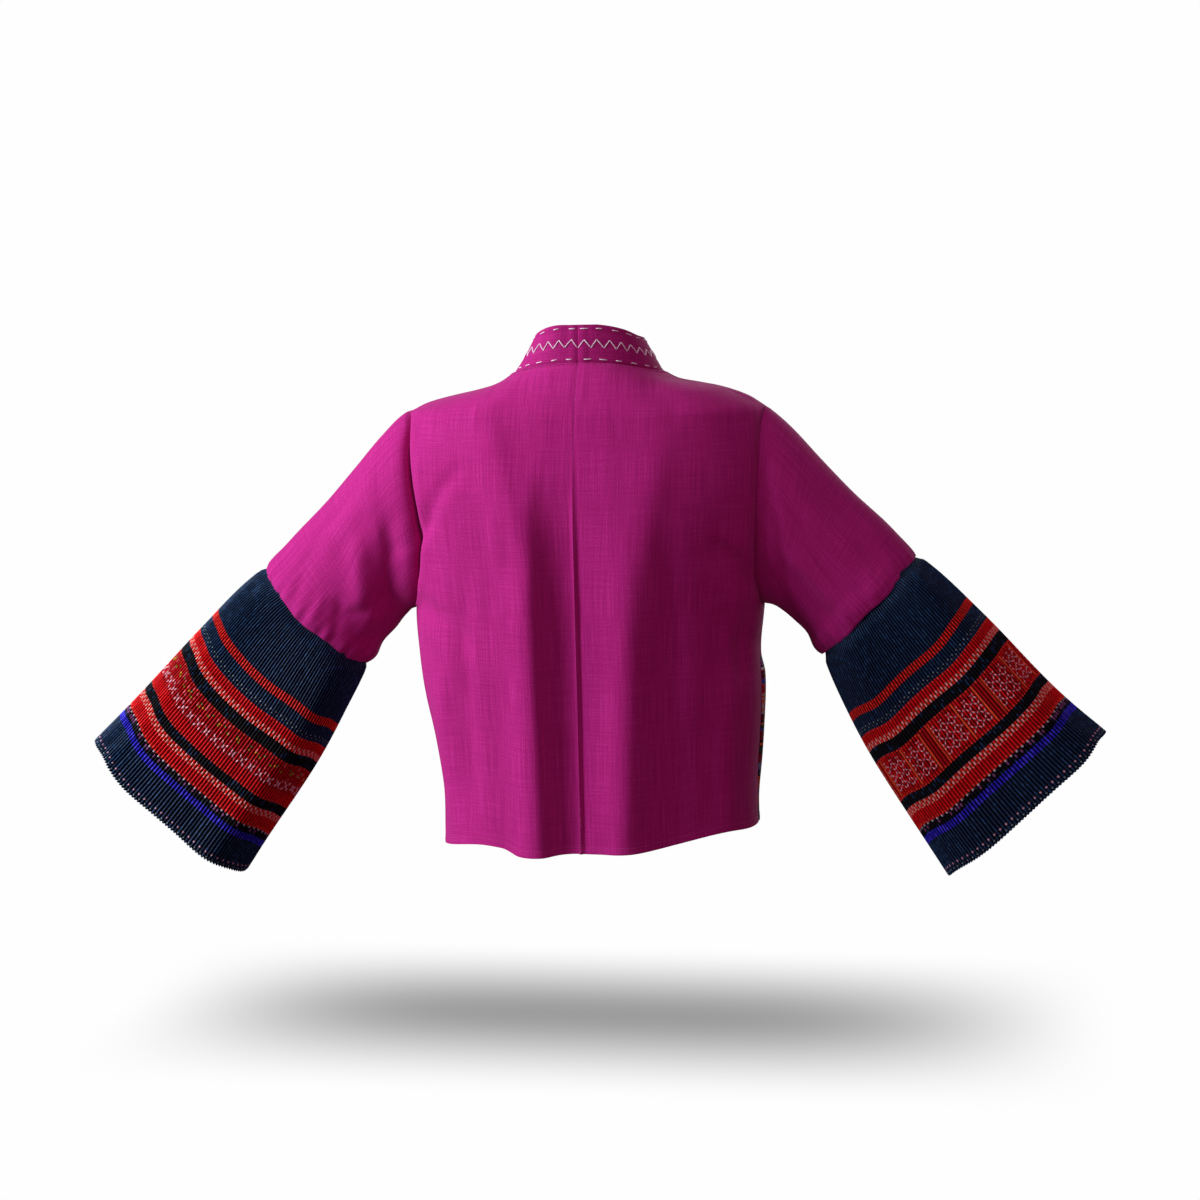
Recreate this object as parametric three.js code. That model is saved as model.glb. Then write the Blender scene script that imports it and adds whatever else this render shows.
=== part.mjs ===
// A short linen jacket with wide sleeves that end in bell cuffs of pleated, banded cloth.
// It is filled out as if worn and is hollow: neck, front, hem, armholes and cuffs are open.
// Millimetres, Z up. The back of the jacket faces -Y and the right sleeve points along +X.
// The origin is the middle of the neck, level with the neck seam at the centre back.

import * as THREE from 'three';
import { mergeVertices } from 'three/addons/utils/BufferGeometryUtils.js';

// ---- cloth ----
const LINEN_WALL = 1.5;
const TEXTILE_WALL = 1.8;
const BAND_WALL = 2.4;
const SEAM_GAP = 0.3;

// ---- body ----
const RING_POWER = 2.3;          // roundness of a ring: 2 is an ellipse, more is squarer
const NECK_HALF_WIDTH = 77;
const SHOULDER_TIP_Z = -50;
const UNDERARM_Z = -252;
const HEM_Z = -497;               // the hem's mean height, where folds and widths end
const ARMHOLE_HALF_DEPTH = 56;   // front to back
const ARMHOLE_STEPS = 10;        // rows of a panel between shoulder tip and underarm
const LOWER_STEPS = 5;           // rows of a panel between underarm and hem
const BACK_COLUMNS = 10;
const FRONT_COLUMNS = 7;
const TEXTILE_TOP_Z = -305;      // the seam between the linen front and its banded lower part

// ---- neck band ----
const BAND_WIDTH = 38;
const BAND_COLUMNS_BACK = 7;     // steps of the band from centre back to shoulder
const BAND_LAST_ANGLE = 0.12;    // where those steps end on the neck ring, short of the shoulder line
const BAND_TURN_ROWS = 7;        // rows of a front over which the band lies down flat
const BAND_TIP = 0.1;            // how far the band tips forward for each unit that it rises
const FRONT_EDGE_X = 44;         // the seam of the band on a front, from the middle
const V_BOTTOM_Z = -230;

// ---- sleeves and cuffs ----
const SLEEVE_COLUMNS = 2 * ARMHOLE_STEPS;
const PLEATS_ROUND = 42;         // modelled folds, each standing for a group of the fine ones
const PLEAT_HALF_DEPTH = 0.9;
const CUFF_POWER = 2.4;          // roundness of a cuff's section

// Rings over the shoulders. reach runs from the neck seam (0) to the shoulder tip (1), back and
// fore are depths from the middle, and the heights are at the shoulder line, back and front.
const SHOULDER_RINGS = [
  { reach: 0.00, back: 66, fore: 20, lineZ: -12, backZ: 0, foreZ: -15 },
  { reach: 0.14, back: 73, fore: 33, lineZ: -21, backZ: -8, foreZ: -25 },
  { reach: 0.34, back: 81, fore: 43, lineZ: -26.5, backZ: -20, foreZ: -33 },
  { reach: 0.60, back: 88, fore: 51, lineZ: -32.5, backZ: -32, foreZ: -40 },
  { reach: 0.84, back: 93, fore: 57, lineZ: -40.5, backZ: -43, foreZ: -46 },
];

// Level rings. Down to the underarm, left and right are where the armhole seam lies, and below
// it they are the half width. back and fore are depths from the middle.
const LEVELS = [
  { z: -50, left: 187, right: 181, back: 96, fore: 60 },
  { z: -85, left: 188, right: 180.5, back: 105, fore: 78 },
  { z: -120, left: 184.5, right: 179, back: 113, fore: 92 },
  { z: -160, left: 178.5, right: 177.5, back: 117, fore: 103 },
  { z: -205, left: 179, right: 176, back: 118, fore: 109 },
  { z: -252, left: 187, right: 177, back: 118, fore: 111 },
  { z: -300, left: 185, right: 172, back: 117.5, fore: 110 },
  { z: -345, left: 180, right: 173.5, back: 117, fore: 108 },
  { z: -395, left: 171, right: 171, back: 117, fore: 107 },
  { z: -440, left: 164.5, right: 168, back: 117.5, fore: 106 },
  { z: -515, left: 163, right: 167, back: 118.5, fore: 105 },
];

// Height of the hem across the back and across the front.
const BACK_HEM = [
  { x: -168, z: -504 },
  { x: -120, z: -491 },
  { x: -84, z: -490 },
  { x: -60, z: -496 },
  { x: 0, z: -493 },
  { x: 80, z: -488 },
  { x: 140, z: -478 },
  { x: 168, z: -482 },
];
const FRONT_HEM = [
  { x: -168, z: -504 },
  { x: -100, z: -498 },
  { x: 100, z: -488 },
  { x: 168, z: -482 },
];

// The largest folds. Each runs from the top height to the hem, and rise is how far it stands
// out (a ridge) or sinks in (a trough).
const BACK_FOLDS = [
  { x: -70, drift: -4, top: -120, halfWidth: 26, rise: 4 },
  { x: -19, drift: 3, top: -100, halfWidth: 17, rise: -4 },
  { x: 38, drift: 6, top: -90, halfWidth: 24, rise: 4 },
  { x: 98, drift: 6, top: -150, halfWidth: 24, rise: -5 },
  { x: 150, drift: -2, top: -260, halfWidth: 14, rise: 3 },
];
const FRONT_FOLDS = [
  { x: -112, drift: -6, top: -160, halfWidth: 24, rise: 4 },
  { x: 96, drift: 8, top: -180, halfWidth: 26, rise: -4 },
];

// Sections of a sleeve, from the armhole to the cuff seam, given by the outer (upper) and inner
// (lower) edge in the plane of the garment, both measured outwards, and the half depth.
const SLEEVE_SECTIONS = {
  left: [
    { outerX: 218, outerZ: -73, innerX: 196, innerZ: -257, depth: 58, forward: 0 },
    { outerX: 250, outerZ: -108, innerX: 204, innerZ: -266, depth: 56, forward: 1 },
    { outerX: 282, outerZ: -143, innerX: 213, innerZ: -278, depth: 53, forward: 2 },
    { outerX: 319, outerZ: -179, innerX: 229, innerZ: -294, depth: 50, forward: 3 },
    { outerX: 352, outerZ: -213, innerX: 248, innerZ: -317, depth: 47, forward: 4 },
  ],
  right: [
    { outerX: 206, outerZ: -71, innerX: 186, innerZ: -253, depth: 58, forward: 0 },
    { outerX: 237, outerZ: -105, innerX: 197, innerZ: -260, depth: 56, forward: 1 },
    { outerX: 269, outerZ: -139, innerX: 208, innerZ: -271, depth: 53, forward: 2 },
    { outerX: 304, outerZ: -172, innerX: 221, innerZ: -284, depth: 50, forward: 3 },
    { outerX: 332, outerZ: -204, innerX: 237, innerZ: -305, depth: 47, forward: 4 },
  ],
};

// Sections of a cuff in the same terms. Each tier runs from its own rows to the next tier's first.
const CUFF_SECTIONS = {
  left: [
    { tier: 'top', outerX: 354, outerZ: -215, innerX: 249, innerZ: -319, depth: 48, forward: 4 },
    { tier: 'top', outerX: 377, outerZ: -229, innerX: 260, innerZ: -341, depth: 53, forward: 5 },
    { tier: 'band', outerX: 423, outerZ: -274, innerX: 292, innerZ: -399, depth: 56, forward: 7 },
    { tier: 'hem', outerX: 510, outerZ: -363, innerX: 363, innerZ: -501, depth: 59, forward: 12 },
    { tier: 'end', outerX: 551, outerZ: -404, innerX: 396, innerZ: -547, depth: 60, forward: 14 },
  ],
  right: [
    { tier: 'top', outerX: 334, outerZ: -206, innerX: 238, innerZ: -307, depth: 48, forward: 4 },
    { tier: 'top', outerX: 356, outerZ: -219, innerX: 247, innerZ: -330, depth: 53, forward: 5 },
    { tier: 'band', outerX: 401, outerZ: -262, innerX: 272, innerZ: -385, depth: 56, forward: 7 },
    { tier: 'hem', outerX: 482, outerZ: -350, innerX: 333, innerZ: -487, depth: 59, forward: 12 },
    { tier: 'end', outerX: 519, outerZ: -390, innerX: 364, innerZ: -535, depth: 60, forward: 14 },
  ],
};

// The shoulders tilt a little, and the band leans in more on the left. bandLean is how far the
// band leans in over the shoulder for each unit that it rises.
const SIDES = [
  { name: 'left', sign: -1, shoulderLift: -2.5, bandLean: 0.85 },
  { name: 'right', sign: 1, shoulderLift: 2.5, bandLean: 0.55 },
];

const MATERIALS = {
  linen: { color: '#a51e80', roughness: 0.85, metalness: 0 },
  band: { color: '#a01b7b', roughness: 0.85, metalness: 0 },
  indigo: { color: '#121a2c', roughness: 0.9, metalness: 0 },
  embroidery: { color: '#c4202a', roughness: 0.9, metalness: 0 },
  textile: { color: '#7c1a2e', roughness: 0.9, metalness: 0 },
};

const HALF_TURN = Math.PI;

function mix(a, b, share) {
  return a + (b - a) * share;
}

// Reads one column of a table at any value of its key, with a smooth curve through the rows.
function column(table, key, value, name) {
  const up = table[table.length - 1][key] > table[0][key];
  const last = table.length - 2;
  let row = 0;
  while (row < last && (up ? value > table[row + 1][key] : value < table[row + 1][key])) row += 1;
  const before = table[Math.max(row - 1, 0)];
  const start = table[row];
  const end = table[row + 1];
  const after = table[Math.min(row + 2, table.length - 1)];
  const span = end[key] - start[key];
  const share = THREE.MathUtils.clamp((value - start[key]) / span, 0, 1);
  const slopeStart = (end[name] - before[name]) / (end[key] - before[key]) * span;
  const slopeEnd = (after[name] - start[name]) / (after[key] - start[key]) * span;
  const square = share * share;
  const cube = square * share;
  return start[name] * (2 * cube - 3 * square + 1) + slopeStart * (cube - 2 * square + share)
    + end[name] * (3 * square - 2 * cube) + slopeEnd * (cube - square);
}

// Angle of a ring at which its half width has shrunk to x.
function angleAtX(x, width) {
  return Math.acos(Math.min(x / width, 1) ** (RING_POWER / 2));
}

// Angle of a ring at which its depth has grown to y.
function angleAtY(y, depth) {
  return Math.asin((y / depth) ** (RING_POWER / 2));
}

// Half width that makes a ring of this depth pass through the armhole seam.
function widthThrough(x, y, depth) {
  return x / (1 - (y / depth) ** RING_POWER) ** (1 / RING_POWER);
}

function foldRise(face, x, z) {
  const folds = face === 'back' ? BACK_FOLDS : FRONT_FOLDS;
  let rise = 0;
  for (const fold of folds) {
    const down = THREE.MathUtils.clamp((fold.top - z) / (fold.top - HEM_Z), 0, 1);
    const centre = fold.x + fold.drift * down;
    const across = (x - centre) / fold.halfWidth;
    rise += fold.rise * Math.exp(-across * across) * THREE.MathUtils.smoothstep(down, 0, 0.35);
  }
  return rise;
}

// The rows of one half of the body, back or front, from the neck to the hem. A row holds its
// half width and depth, its height at any angle, and the angle where the panel begins.
function bodyRows(side, face) {
  const depthName = face === 'back' ? 'back' : 'fore';
  const centreName = face === 'back' ? 'backZ' : 'foreZ';
  const hem = face === 'back' ? BACK_HEM : FRONT_HEM;
  const tipWidth = column(LEVELS, 'z', SHOULDER_TIP_Z, side.name);
  const rows = [];
  for (const ring of SHOULDER_RINGS) {
    const reach = face === 'front' ? Math.max(ring.reach, 0.03) : ring.reach;
    const depth = ring[depthName];
    rows.push({
      width: mix(NECK_HALF_WIDTH, tipWidth, reach),
      depth,
      start: angleAtY(SEAM_GAP / 2, depth),
      height: (angle) => mix(ring.lineZ + side.shoulderLift * Math.sin(Math.PI * reach),
        ring[centreName], Math.sin(angle) ** 2),
    });
  }
  const armholeMiddle = (SHOULDER_TIP_Z + UNDERARM_Z) / 2;
  const armholeReach = (SHOULDER_TIP_Z - UNDERARM_Z) / 2;
  for (let step = 0; step <= ARMHOLE_STEPS; step += 1) {
    const turn = HALF_TURN * step / ARMHOLE_STEPS;
    const z = armholeMiddle + armholeReach * Math.cos(turn);
    const depth = column(LEVELS, 'z', z, depthName);
    const seamX = column(LEVELS, 'z', z, side.name);
    const seamY = Math.max(ARMHOLE_HALF_DEPTH * Math.sin(turn), SEAM_GAP / 2);
    const width = widthThrough(seamX, seamY, depth);
    rows.push({ width, depth, start: angleAtY(seamY, depth), height: () => z });
  }
  for (let step = 1; step <= LOWER_STEPS; step += 1) {
    const share = step / LOWER_STEPS;
    const z = mix(UNDERARM_Z, HEM_Z, share);
    const depth = column(LEVELS, 'z', z, depthName);
    const width = column(LEVELS, 'z', z, side.name);
    const height = (angle) => {
      const x = side.sign * width * Math.cos(angle) ** (2 / RING_POWER);
      return mix(UNDERARM_Z, column(hem, 'x', x, 'z'), share);
    };
    rows.push({ width, depth, start: angleAtY(SEAM_GAP / 2, depth), height });
  }
  return rows;
}

function bodyPoint(side, face, row, angle) {
  const x = side.sign * row.width * Math.cos(angle) ** (2 / RING_POWER);
  const y = row.depth * Math.sin(angle) ** (2 / RING_POWER);
  const z = row.height(angle);
  const rise = foldRise(face, x, z) * Math.sin(angle) ** 2;
  const out = new THREE.Vector2(x / row.width ** 2, y / row.depth ** 2).setLength(rise);
  const depth = y + out.y;
  return new THREE.Vector3(x + out.x, face === 'back' ? -depth : depth, z);
}

// Distance of the neck band's seam from the middle of a front.
function bandSeamX(z) {
  const share = THREE.MathUtils.clamp((z - V_BOTTOM_Z) / (SHOULDER_RINGS[0].lineZ - V_BOTTOM_Z), 0, 1);
  return mix(FRONT_EDGE_X, NECK_HALF_WIDTH - 0.5, share);
}

function frontEndAngle(row) {
  let angle = 0.5;
  for (let pass = 0; pass < 4; pass += 1) angle = angleAtX(bandSeamX(row.height(angle)), row.width);
  return angle;
}

function panelGrid(side, face, rows, columns, endAngle) {
  return rows.map((row) => {
    const end = endAngle(row);
    const points = [];
    for (let step = 0; step <= columns; step += 1) {
      points.push(bodyPoint(side, face, row, mix(row.start, end, step / columns)));
    }
    return points;
  });
}

// Outward directions at the points of a grid. middle is a point inside the garment.
function gridNormals(grid, middle) {
  const at = (i, j) => grid[THREE.MathUtils.clamp(i, 0, grid.length - 1)][
    THREE.MathUtils.clamp(j, 0, grid[0].length - 1)];
  return grid.map((points, i) => points.map((point, j) => {
    const along = at(i + 1, j).clone().sub(at(i - 1, j));
    const across = at(i, j + 1).clone().sub(at(i, j - 1));
    const normal = along.cross(across).normalize();
    const outward = point.clone().sub(middle);
    return normal.dot(outward) < 0 ? normal.negate() : normal;
  }));
}

// Makes one closed body between an outer and an inner grid of points.
function wallBetween(outer, inner, round) {
  const rows = outer.length;
  const columns = outer[0].length;
  const positions = [];
  for (const grid of [outer, inner]) {
    for (const points of grid) for (const point of points) positions.push(point.x, point.y, point.z);
  }
  const outerAt = (i, j) => i * columns + (j % columns);
  const innerAt = (i, j) => rows * columns + outerAt(i, j);
  const index = [];
  const quad = (a, b, c, d) => index.push(a, b, c, a, c, d);
  const steps = round ? columns : columns - 1;
  for (let i = 0; i < rows - 1; i += 1) {
    for (let j = 0; j < steps; j += 1) {
      quad(outerAt(i, j), outerAt(i, j + 1), outerAt(i + 1, j + 1), outerAt(i + 1, j));
      quad(innerAt(i, j), innerAt(i + 1, j), innerAt(i + 1, j + 1), innerAt(i, j + 1));
    }
  }
  for (let j = 0; j < steps; j += 1) {
    const end = rows - 1;
    quad(outerAt(0, j), innerAt(0, j), innerAt(0, j + 1), outerAt(0, j + 1));
    quad(outerAt(end, j), outerAt(end, j + 1), innerAt(end, j + 1), innerAt(end, j));
  }
  if (!round) {
    for (let i = 0; i < rows - 1; i += 1) {
      const end = columns - 1;
      quad(outerAt(i, 0), outerAt(i + 1, 0), innerAt(i + 1, 0), innerAt(i, 0));
      quad(outerAt(i, end), innerAt(i, end), innerAt(i + 1, end), outerAt(i + 1, end));
    }
  }
  let geometry = new THREE.BufferGeometry();
  geometry.setAttribute('position', new THREE.Float32BufferAttribute(positions, 3));
  geometry.setIndex(signedVolume(positions, index) < 0 ? index.reverse() : index);
  geometry = mergeVertices(geometry, 1e-4);
  geometry.computeVertexNormals();
  return geometry;
}

function signedVolume(positions, index) {
  const corner = (n) => new THREE.Vector3().fromArray(positions, 3 * index[n]);
  let volume = 0;
  for (let n = 0; n < index.length; n += 3) {
    volume += corner(n).dot(corner(n + 1).cross(corner(n + 2))) / 6;
  }
  return volume;
}

function addPiece(group, name, geometry, finish) {
  const mesh = new THREE.Mesh(geometry, new THREE.MeshStandardMaterial(MATERIALS[finish]));
  mesh.name = name;
  group.add(mesh);
}

// A body panel: its wall goes inwards. At the side and shoulder seams it is cut level with the
// middle of the garment, and at the centre back it is cut along the middle.
function panelGeometry(grid, wall, centreSeam) {
  const normals = gridNormals(grid, new THREE.Vector3(0, 0, -300));
  normals.forEach((row, i) => {
    if (Math.abs(grid[i][0].y) < 1) row[0].setY(0).normalize();
    if (centreSeam) row[row.length - 1].setX(0).normalize();
  });
  const inner = grid.map((row, i) => row.map((point, j) =>
    point.clone().addScaledVector(normals[i][j], -wall)));
  return wallBetween(grid, inner, false);
}

function addBack(group, side) {
  const rows = bodyRows(side, 'back');
  const centre = (row) => angleAtX(SEAM_GAP / 2, row.width);
  const grid = panelGrid(side, 'back', rows, BACK_COLUMNS, centre);
  addPiece(group, `back_${side.name}`, panelGeometry(grid, LINEN_WALL, true), 'linen');
}

// A front is a linen piece above and a banded textile piece below, seamed at one level.
function addFront(group, side) {
  const rows = bodyRows(side, 'front');
  const grid = panelGrid(side, 'front', rows, FRONT_COLUMNS, frontEndAngle);
  const cut = grid.findIndex((points) => points[0].z < TEXTILE_TOP_Z);
  const seamRow = (z) => grid[cut].map((point, j) => {
    const above = grid[cut - 1][j];
    return above.clone().lerp(point, (z - above.z) / (point.z - above.z));
  });
  const linen = [...grid.slice(0, cut), seamRow(TEXTILE_TOP_Z)];
  const textile = [seamRow(TEXTILE_TOP_Z - SEAM_GAP), ...grid.slice(cut)];
  addPiece(group, `front_${side.name}`, panelGeometry(linen, LINEN_WALL, false), 'linen');
  addPiece(group, `front_textile_${side.name}`, panelGeometry(textile, TEXTILE_WALL, false), 'textile');
}

// Points of one section of a sleeve or cuff. lift moves a point out from the section's curve.
function sectionPoints(side, section, columns, power, lift) {
  const halfX = (section.outerX - section.innerX) / 2;
  const halfZ = (section.outerZ - section.innerZ) / 2;
  const halfLength = Math.hypot(halfX, halfZ);
  const points = [];
  for (let step = 0; step < columns; step += 1) {
    const turn = 2 * HALF_TURN * step / columns;
    const c = Math.cos(turn);
    const s = Math.sin(turn);
    const along = Math.sign(c) * Math.abs(c) ** (2 / power);
    const deep = Math.sign(s) * Math.abs(s) ** (2 / power);
    const out = new THREE.Vector2(along / halfLength, deep / section.depth).setLength(lift(step));
    const reach = along + out.x / halfLength;
    points.push(new THREE.Vector3(
      side.sign * ((section.outerX + section.innerX) / 2 + halfX * reach),
      section.forward - section.depth * deep - out.y,
      (section.outerZ + section.innerZ) / 2 + halfZ * reach,
    ));
  }
  return points;
}

// The armhole seam: down the back edge of the body and up the front edge.
function armholePoints(side, inset) {
  const middle = (SHOULDER_TIP_Z + UNDERARM_Z) / 2;
  const halfHeight = (SHOULDER_TIP_Z - UNDERARM_Z) / 2;
  const points = [];
  for (let step = 0; step < SLEEVE_COLUMNS; step += 1) {
    const turn = 2 * HALF_TURN * step / SLEEVE_COLUMNS;
    const z = middle + halfHeight * Math.cos(turn);
    const x = column(LEVELS, 'z', z, side.name) + SEAM_GAP;
    const y = -(ARMHOLE_HALF_DEPTH - inset) * Math.sin(turn);
    points.push(new THREE.Vector3(side.sign * x, y, z - inset * Math.cos(turn)));
  }
  return points;
}

function addSleeve(group, side) {
  const grids = [0, -LINEN_WALL].map((lift) => [
    armholePoints(side, -lift),
    ...SLEEVE_SECTIONS[side.name].map((section) => sectionPoints(side, section, SLEEVE_COLUMNS, 2, () => lift)),
  ]);
  addPiece(group, `sleeve_${side.name}`, wallBetween(grids[0], grids[1], true), 'linen');
}

// A section moved a little way from one section towards another.
function between(start, end, share) {
  const moved = {};
  for (const name of ['outerX', 'outerZ', 'innerX', 'innerZ', 'depth', 'forward']) {
    moved[name] = mix(start[name], end[name], share);
  }
  return moved;
}

function addCuff(group, side) {
  const columns = 2 * PLEATS_ROUND;
  const finishes = { top: 'indigo', band: 'embroidery', hem: 'indigo' };
  for (const tier of ['top', 'band', 'hem']) {
    const table = CUFF_SECTIONS[side.name];
    const first = table.findIndex((section) => section.tier === tier);
    const last = table.findLastIndex((section) => section.tier === tier) + 1;
    const sections = table.slice(first, last + 1);
    const end = sections.length - 1;
    const lastLength = Math.hypot(
      sections[end].outerX - sections[end - 1].outerX,
      sections[end].outerZ - sections[end - 1].outerZ,
    );
    if (tier !== 'hem') sections[end] = between(sections[end - 1], sections[end], 1 - 2 * SEAM_GAP / lastLength);
    const grids = [0, -LINEN_WALL].map((wall) => sections.map((section) => sectionPoints(
      side, section, columns, CUFF_POWER, (step) => wall + PLEAT_HALF_DEPTH * (step % 2 ? -1 : 1))));
    addPiece(group, `cuff_${tier}_${side.name}`, wallBetween(grids[0], grids[1], true), finishes[tier]);
  }
}

// Half of the neck band. It stands up at the back of the neck, leans over at the shoulder and
// lies along the front edge down to the hem.
function addNeckBand(group, side) {
  const backRow = bodyRows(side, 'back')[0];
  const stations = [];
  for (let step = 0; step < BAND_COLUMNS_BACK; step += 1) {
    const share = step / BAND_COLUMNS_BACK;
    const angle = mix(angleAtX(SEAM_GAP / 2, backRow.width), BAND_LAST_ANGLE, share);
    const rise = new THREE.Vector3(-side.bandLean * side.sign * share ** 1.5, BAND_TIP, 1).normalize();
    stations.push({ seam: bodyPoint(side, 'back', backRow, angle), rise });
  }
  const frontRows = bodyRows(side, 'front');
  frontRows.forEach((row, number) => {
    const angle = frontEndAngle(row);
    const seam = bodyPoint(side, 'front', row, angle);
    const inward = bodyPoint(side, 'front', row, angle + 0.1).sub(seam).setZ(0).normalize();
    const up = new THREE.Vector3(-side.bandLean * side.sign, BAND_TIP, 0.85);
    const share = THREE.MathUtils.smoothstep(number, 0, BAND_TURN_ROWS);
    stations.push({ seam, rise: up.lerp(inward, share).normalize() });
  });
  const outer = stations.map(({ seam, rise }) => [0, 0.5, 1].map((share) =>
    seam.clone().addScaledVector(rise, mix(SEAM_GAP, BAND_WIDTH, share))));
  outer[0].forEach((point) => point.setX(side.sign * SEAM_GAP / 2));
  const normals = gridNormals(outer, new THREE.Vector3(0, 0, -200));
  normals[0].forEach((normal) => normal.setX(0).normalize());
  const inner = outer.map((row, i) => row.map((point, j) =>
    point.clone().addScaledVector(normals[i][j], -BAND_WALL)));
  addPiece(group, `neck_band_${side.name}`, wallBetween(outer, inner, false), 'band');
}

const jacket = new THREE.Group();
for (const side of SIDES) {
  addBack(jacket, side);
  addFront(jacket, side);
  addNeckBand(jacket, side);
  addSleeve(jacket, side);
  addCuff(jacket, side);
}

export default jacket;
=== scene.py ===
"""Dresses a short magenta linen jacket with wide sleeves and pleated, banded bell cuffs.

The jacket is filled out as if worn, and is hollow. Every piece of cloth is a thin closed wall on
the form of its plain solid. Tables and sizes are in millimetres, and meshes are in metres.
The back of the jacket faces -Y, and the wearer's right is +X.
"""

from __future__ import annotations

import logging
import math
from dataclasses import dataclass, field
from enum import Enum
from typing import Any, NamedTuple, Sequence

import bpy
import numpy as np
from mathutils import Matrix, Vector

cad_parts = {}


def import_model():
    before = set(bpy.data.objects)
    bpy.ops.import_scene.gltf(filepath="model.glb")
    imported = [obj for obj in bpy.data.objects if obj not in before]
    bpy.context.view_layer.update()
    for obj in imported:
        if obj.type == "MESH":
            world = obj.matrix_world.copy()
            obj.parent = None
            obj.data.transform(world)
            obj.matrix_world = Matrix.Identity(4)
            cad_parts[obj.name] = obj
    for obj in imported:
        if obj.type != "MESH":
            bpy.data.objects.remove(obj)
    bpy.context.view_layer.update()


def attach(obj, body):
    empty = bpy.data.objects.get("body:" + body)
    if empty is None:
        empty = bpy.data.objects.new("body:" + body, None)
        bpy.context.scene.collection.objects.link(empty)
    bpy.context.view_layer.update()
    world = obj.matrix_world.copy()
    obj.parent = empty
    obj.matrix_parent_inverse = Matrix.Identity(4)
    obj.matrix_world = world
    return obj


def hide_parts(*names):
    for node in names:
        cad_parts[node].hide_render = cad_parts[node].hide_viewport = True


LOG = logging.getLogger("jacket")
MM = 0.001
SEAM_GAP = 0.3
UV_NAME = "cloth"
SHARP_DEGREES = 55
BODY_MIDDLE = np.array([0.0, 0.0, -300.0])
NECK_MIDDLE = np.array([0.0, 0.0, -200.0])

Array = np.ndarray
Piece = bpy.types.Object
Finish = bpy.types.Material
Tree = bpy.types.NodeTree
Node = bpy.types.Node


class Side(Enum):
    """The wearer's sides."""

    LEFT = "left"
    RIGHT = "right"

    @property
    def sign(self) -> int:
        """Returns the side's direction along X."""
        return 1 if self is Side.RIGHT else -1


class Face(Enum):
    """The two faces of the body."""

    BACK = "back"
    FRONT = "front"


class Tier(Enum):
    """The tiers of a cuff, from the sleeve down."""

    TOP = "top"
    BAND = "band"
    HEM = "hem"


class Motif(Enum):
    """What is worked on the wide band of a cuff."""

    NONE = "none"
    CROSSES = "crosses"
    SQUARES = "squares"


# ---- tables of the form ----


class Cut(NamedTuple):
    """The size that cloth is cut to: width and length in metres, area in square metres."""

    width: float
    length: float
    area: float


def by_side(left: Any, right: Any) -> Any:
    """Makes a field that holds one value for each side."""
    return field(default_factory=lambda: {Side.LEFT: left, Side.RIGHT: right})


def table(kind: type, *rows: tuple) -> tuple:
    """Makes a table with rows of one kind."""
    return tuple(kind(*row) for row in rows)


class ShoulderRing(NamedTuple):
    """A ring over the shoulder: reach is 0 at the neck seam and 1 at the shoulder tip."""

    reach: float
    back: float
    fore: float
    line_z: float
    back_z: float
    fore_z: float


class Level(NamedTuple):
    """A level ring: left and right half widths, back and front depths."""

    z: float
    left: float
    right: float
    back: float
    fore: float


class HemPoint(NamedTuple):
    """Height of the hem at one place across."""

    x: float
    z: float


class Fold(NamedTuple):
    """A large fold that hangs from a height to the hem."""

    x: float
    drift: float
    top: float
    half_width: float
    rise: float


class Crease(NamedTuple):
    """A soft trough (negative rise) or ridge between two places, seen from the back.

    bow bends it sideways at its middle, and lean makes one of its flanks steeper.
    """

    start_x: float
    start_z: float
    end_x: float
    end_z: float
    half_width: float
    rise: float
    bow: float = 0.0
    lean: float = 0.0


class Section(NamedTuple):
    """A section of a sleeve or cuff: outer and inner edge, half depth, and how far it is forward."""

    outer_x: float
    outer_z: float
    inner_x: float
    inner_z: float
    depth: float
    forward: float


SHOULDER_RINGS = table(
    ShoulderRing,
    (0.00, 66, 20, -12, 0, -15), (0.14, 73, 33, -21, -8, -25), (0.34, 81, 43, -26.5, -20, -33),
    (0.60, 88, 51, -32.5, -32, -40), (0.84, 93, 57, -40.5, -43, -46), (1.00, 96, 60, -50, -50, -50),
)

LEVELS = table(
    Level,
    (-50, 187, 181, 96, 60), (-85, 188, 180.5, 105, 78), (-120, 184.5, 179, 113, 92),
    (-160, 178.5, 177.5, 117, 103), (-205, 179, 176, 118, 109), (-252, 187, 177, 118, 111),
    (-300, 185, 172, 117.5, 110), (-345, 180, 173.5, 117, 108), (-395, 171, 171, 117, 107),
    (-440, 164.5, 168, 117.5, 106), (-515, 163, 167, 118.5, 105),
)

HEMS = {
    Face.BACK: table(
        HemPoint,
        (-168, -504), (-120, -491), (-84, -490), (-60, -496), (0, -493), (80, -488), (140, -478),
        (168, -482),
    ),
    Face.FRONT: table(
        HemPoint,
        (-168, -504), (-100, -498), (100, -488), (168, -482),
    ),
}

FOLDS = {
    Face.BACK: table(
        Fold,
        (-54, 4, -120, 22, 4), (-19, 3, -100, 17, -4), (48, 0, -90, 22, 4), (98, 6, -150, 24, -5),
        (150, -2, -260, 14, 3),
    ),
    Face.FRONT: table(
        Fold,
        (-112, -6, -160, 24, 4), (96, 8, -180, 26, -4),
    ),
}

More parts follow.
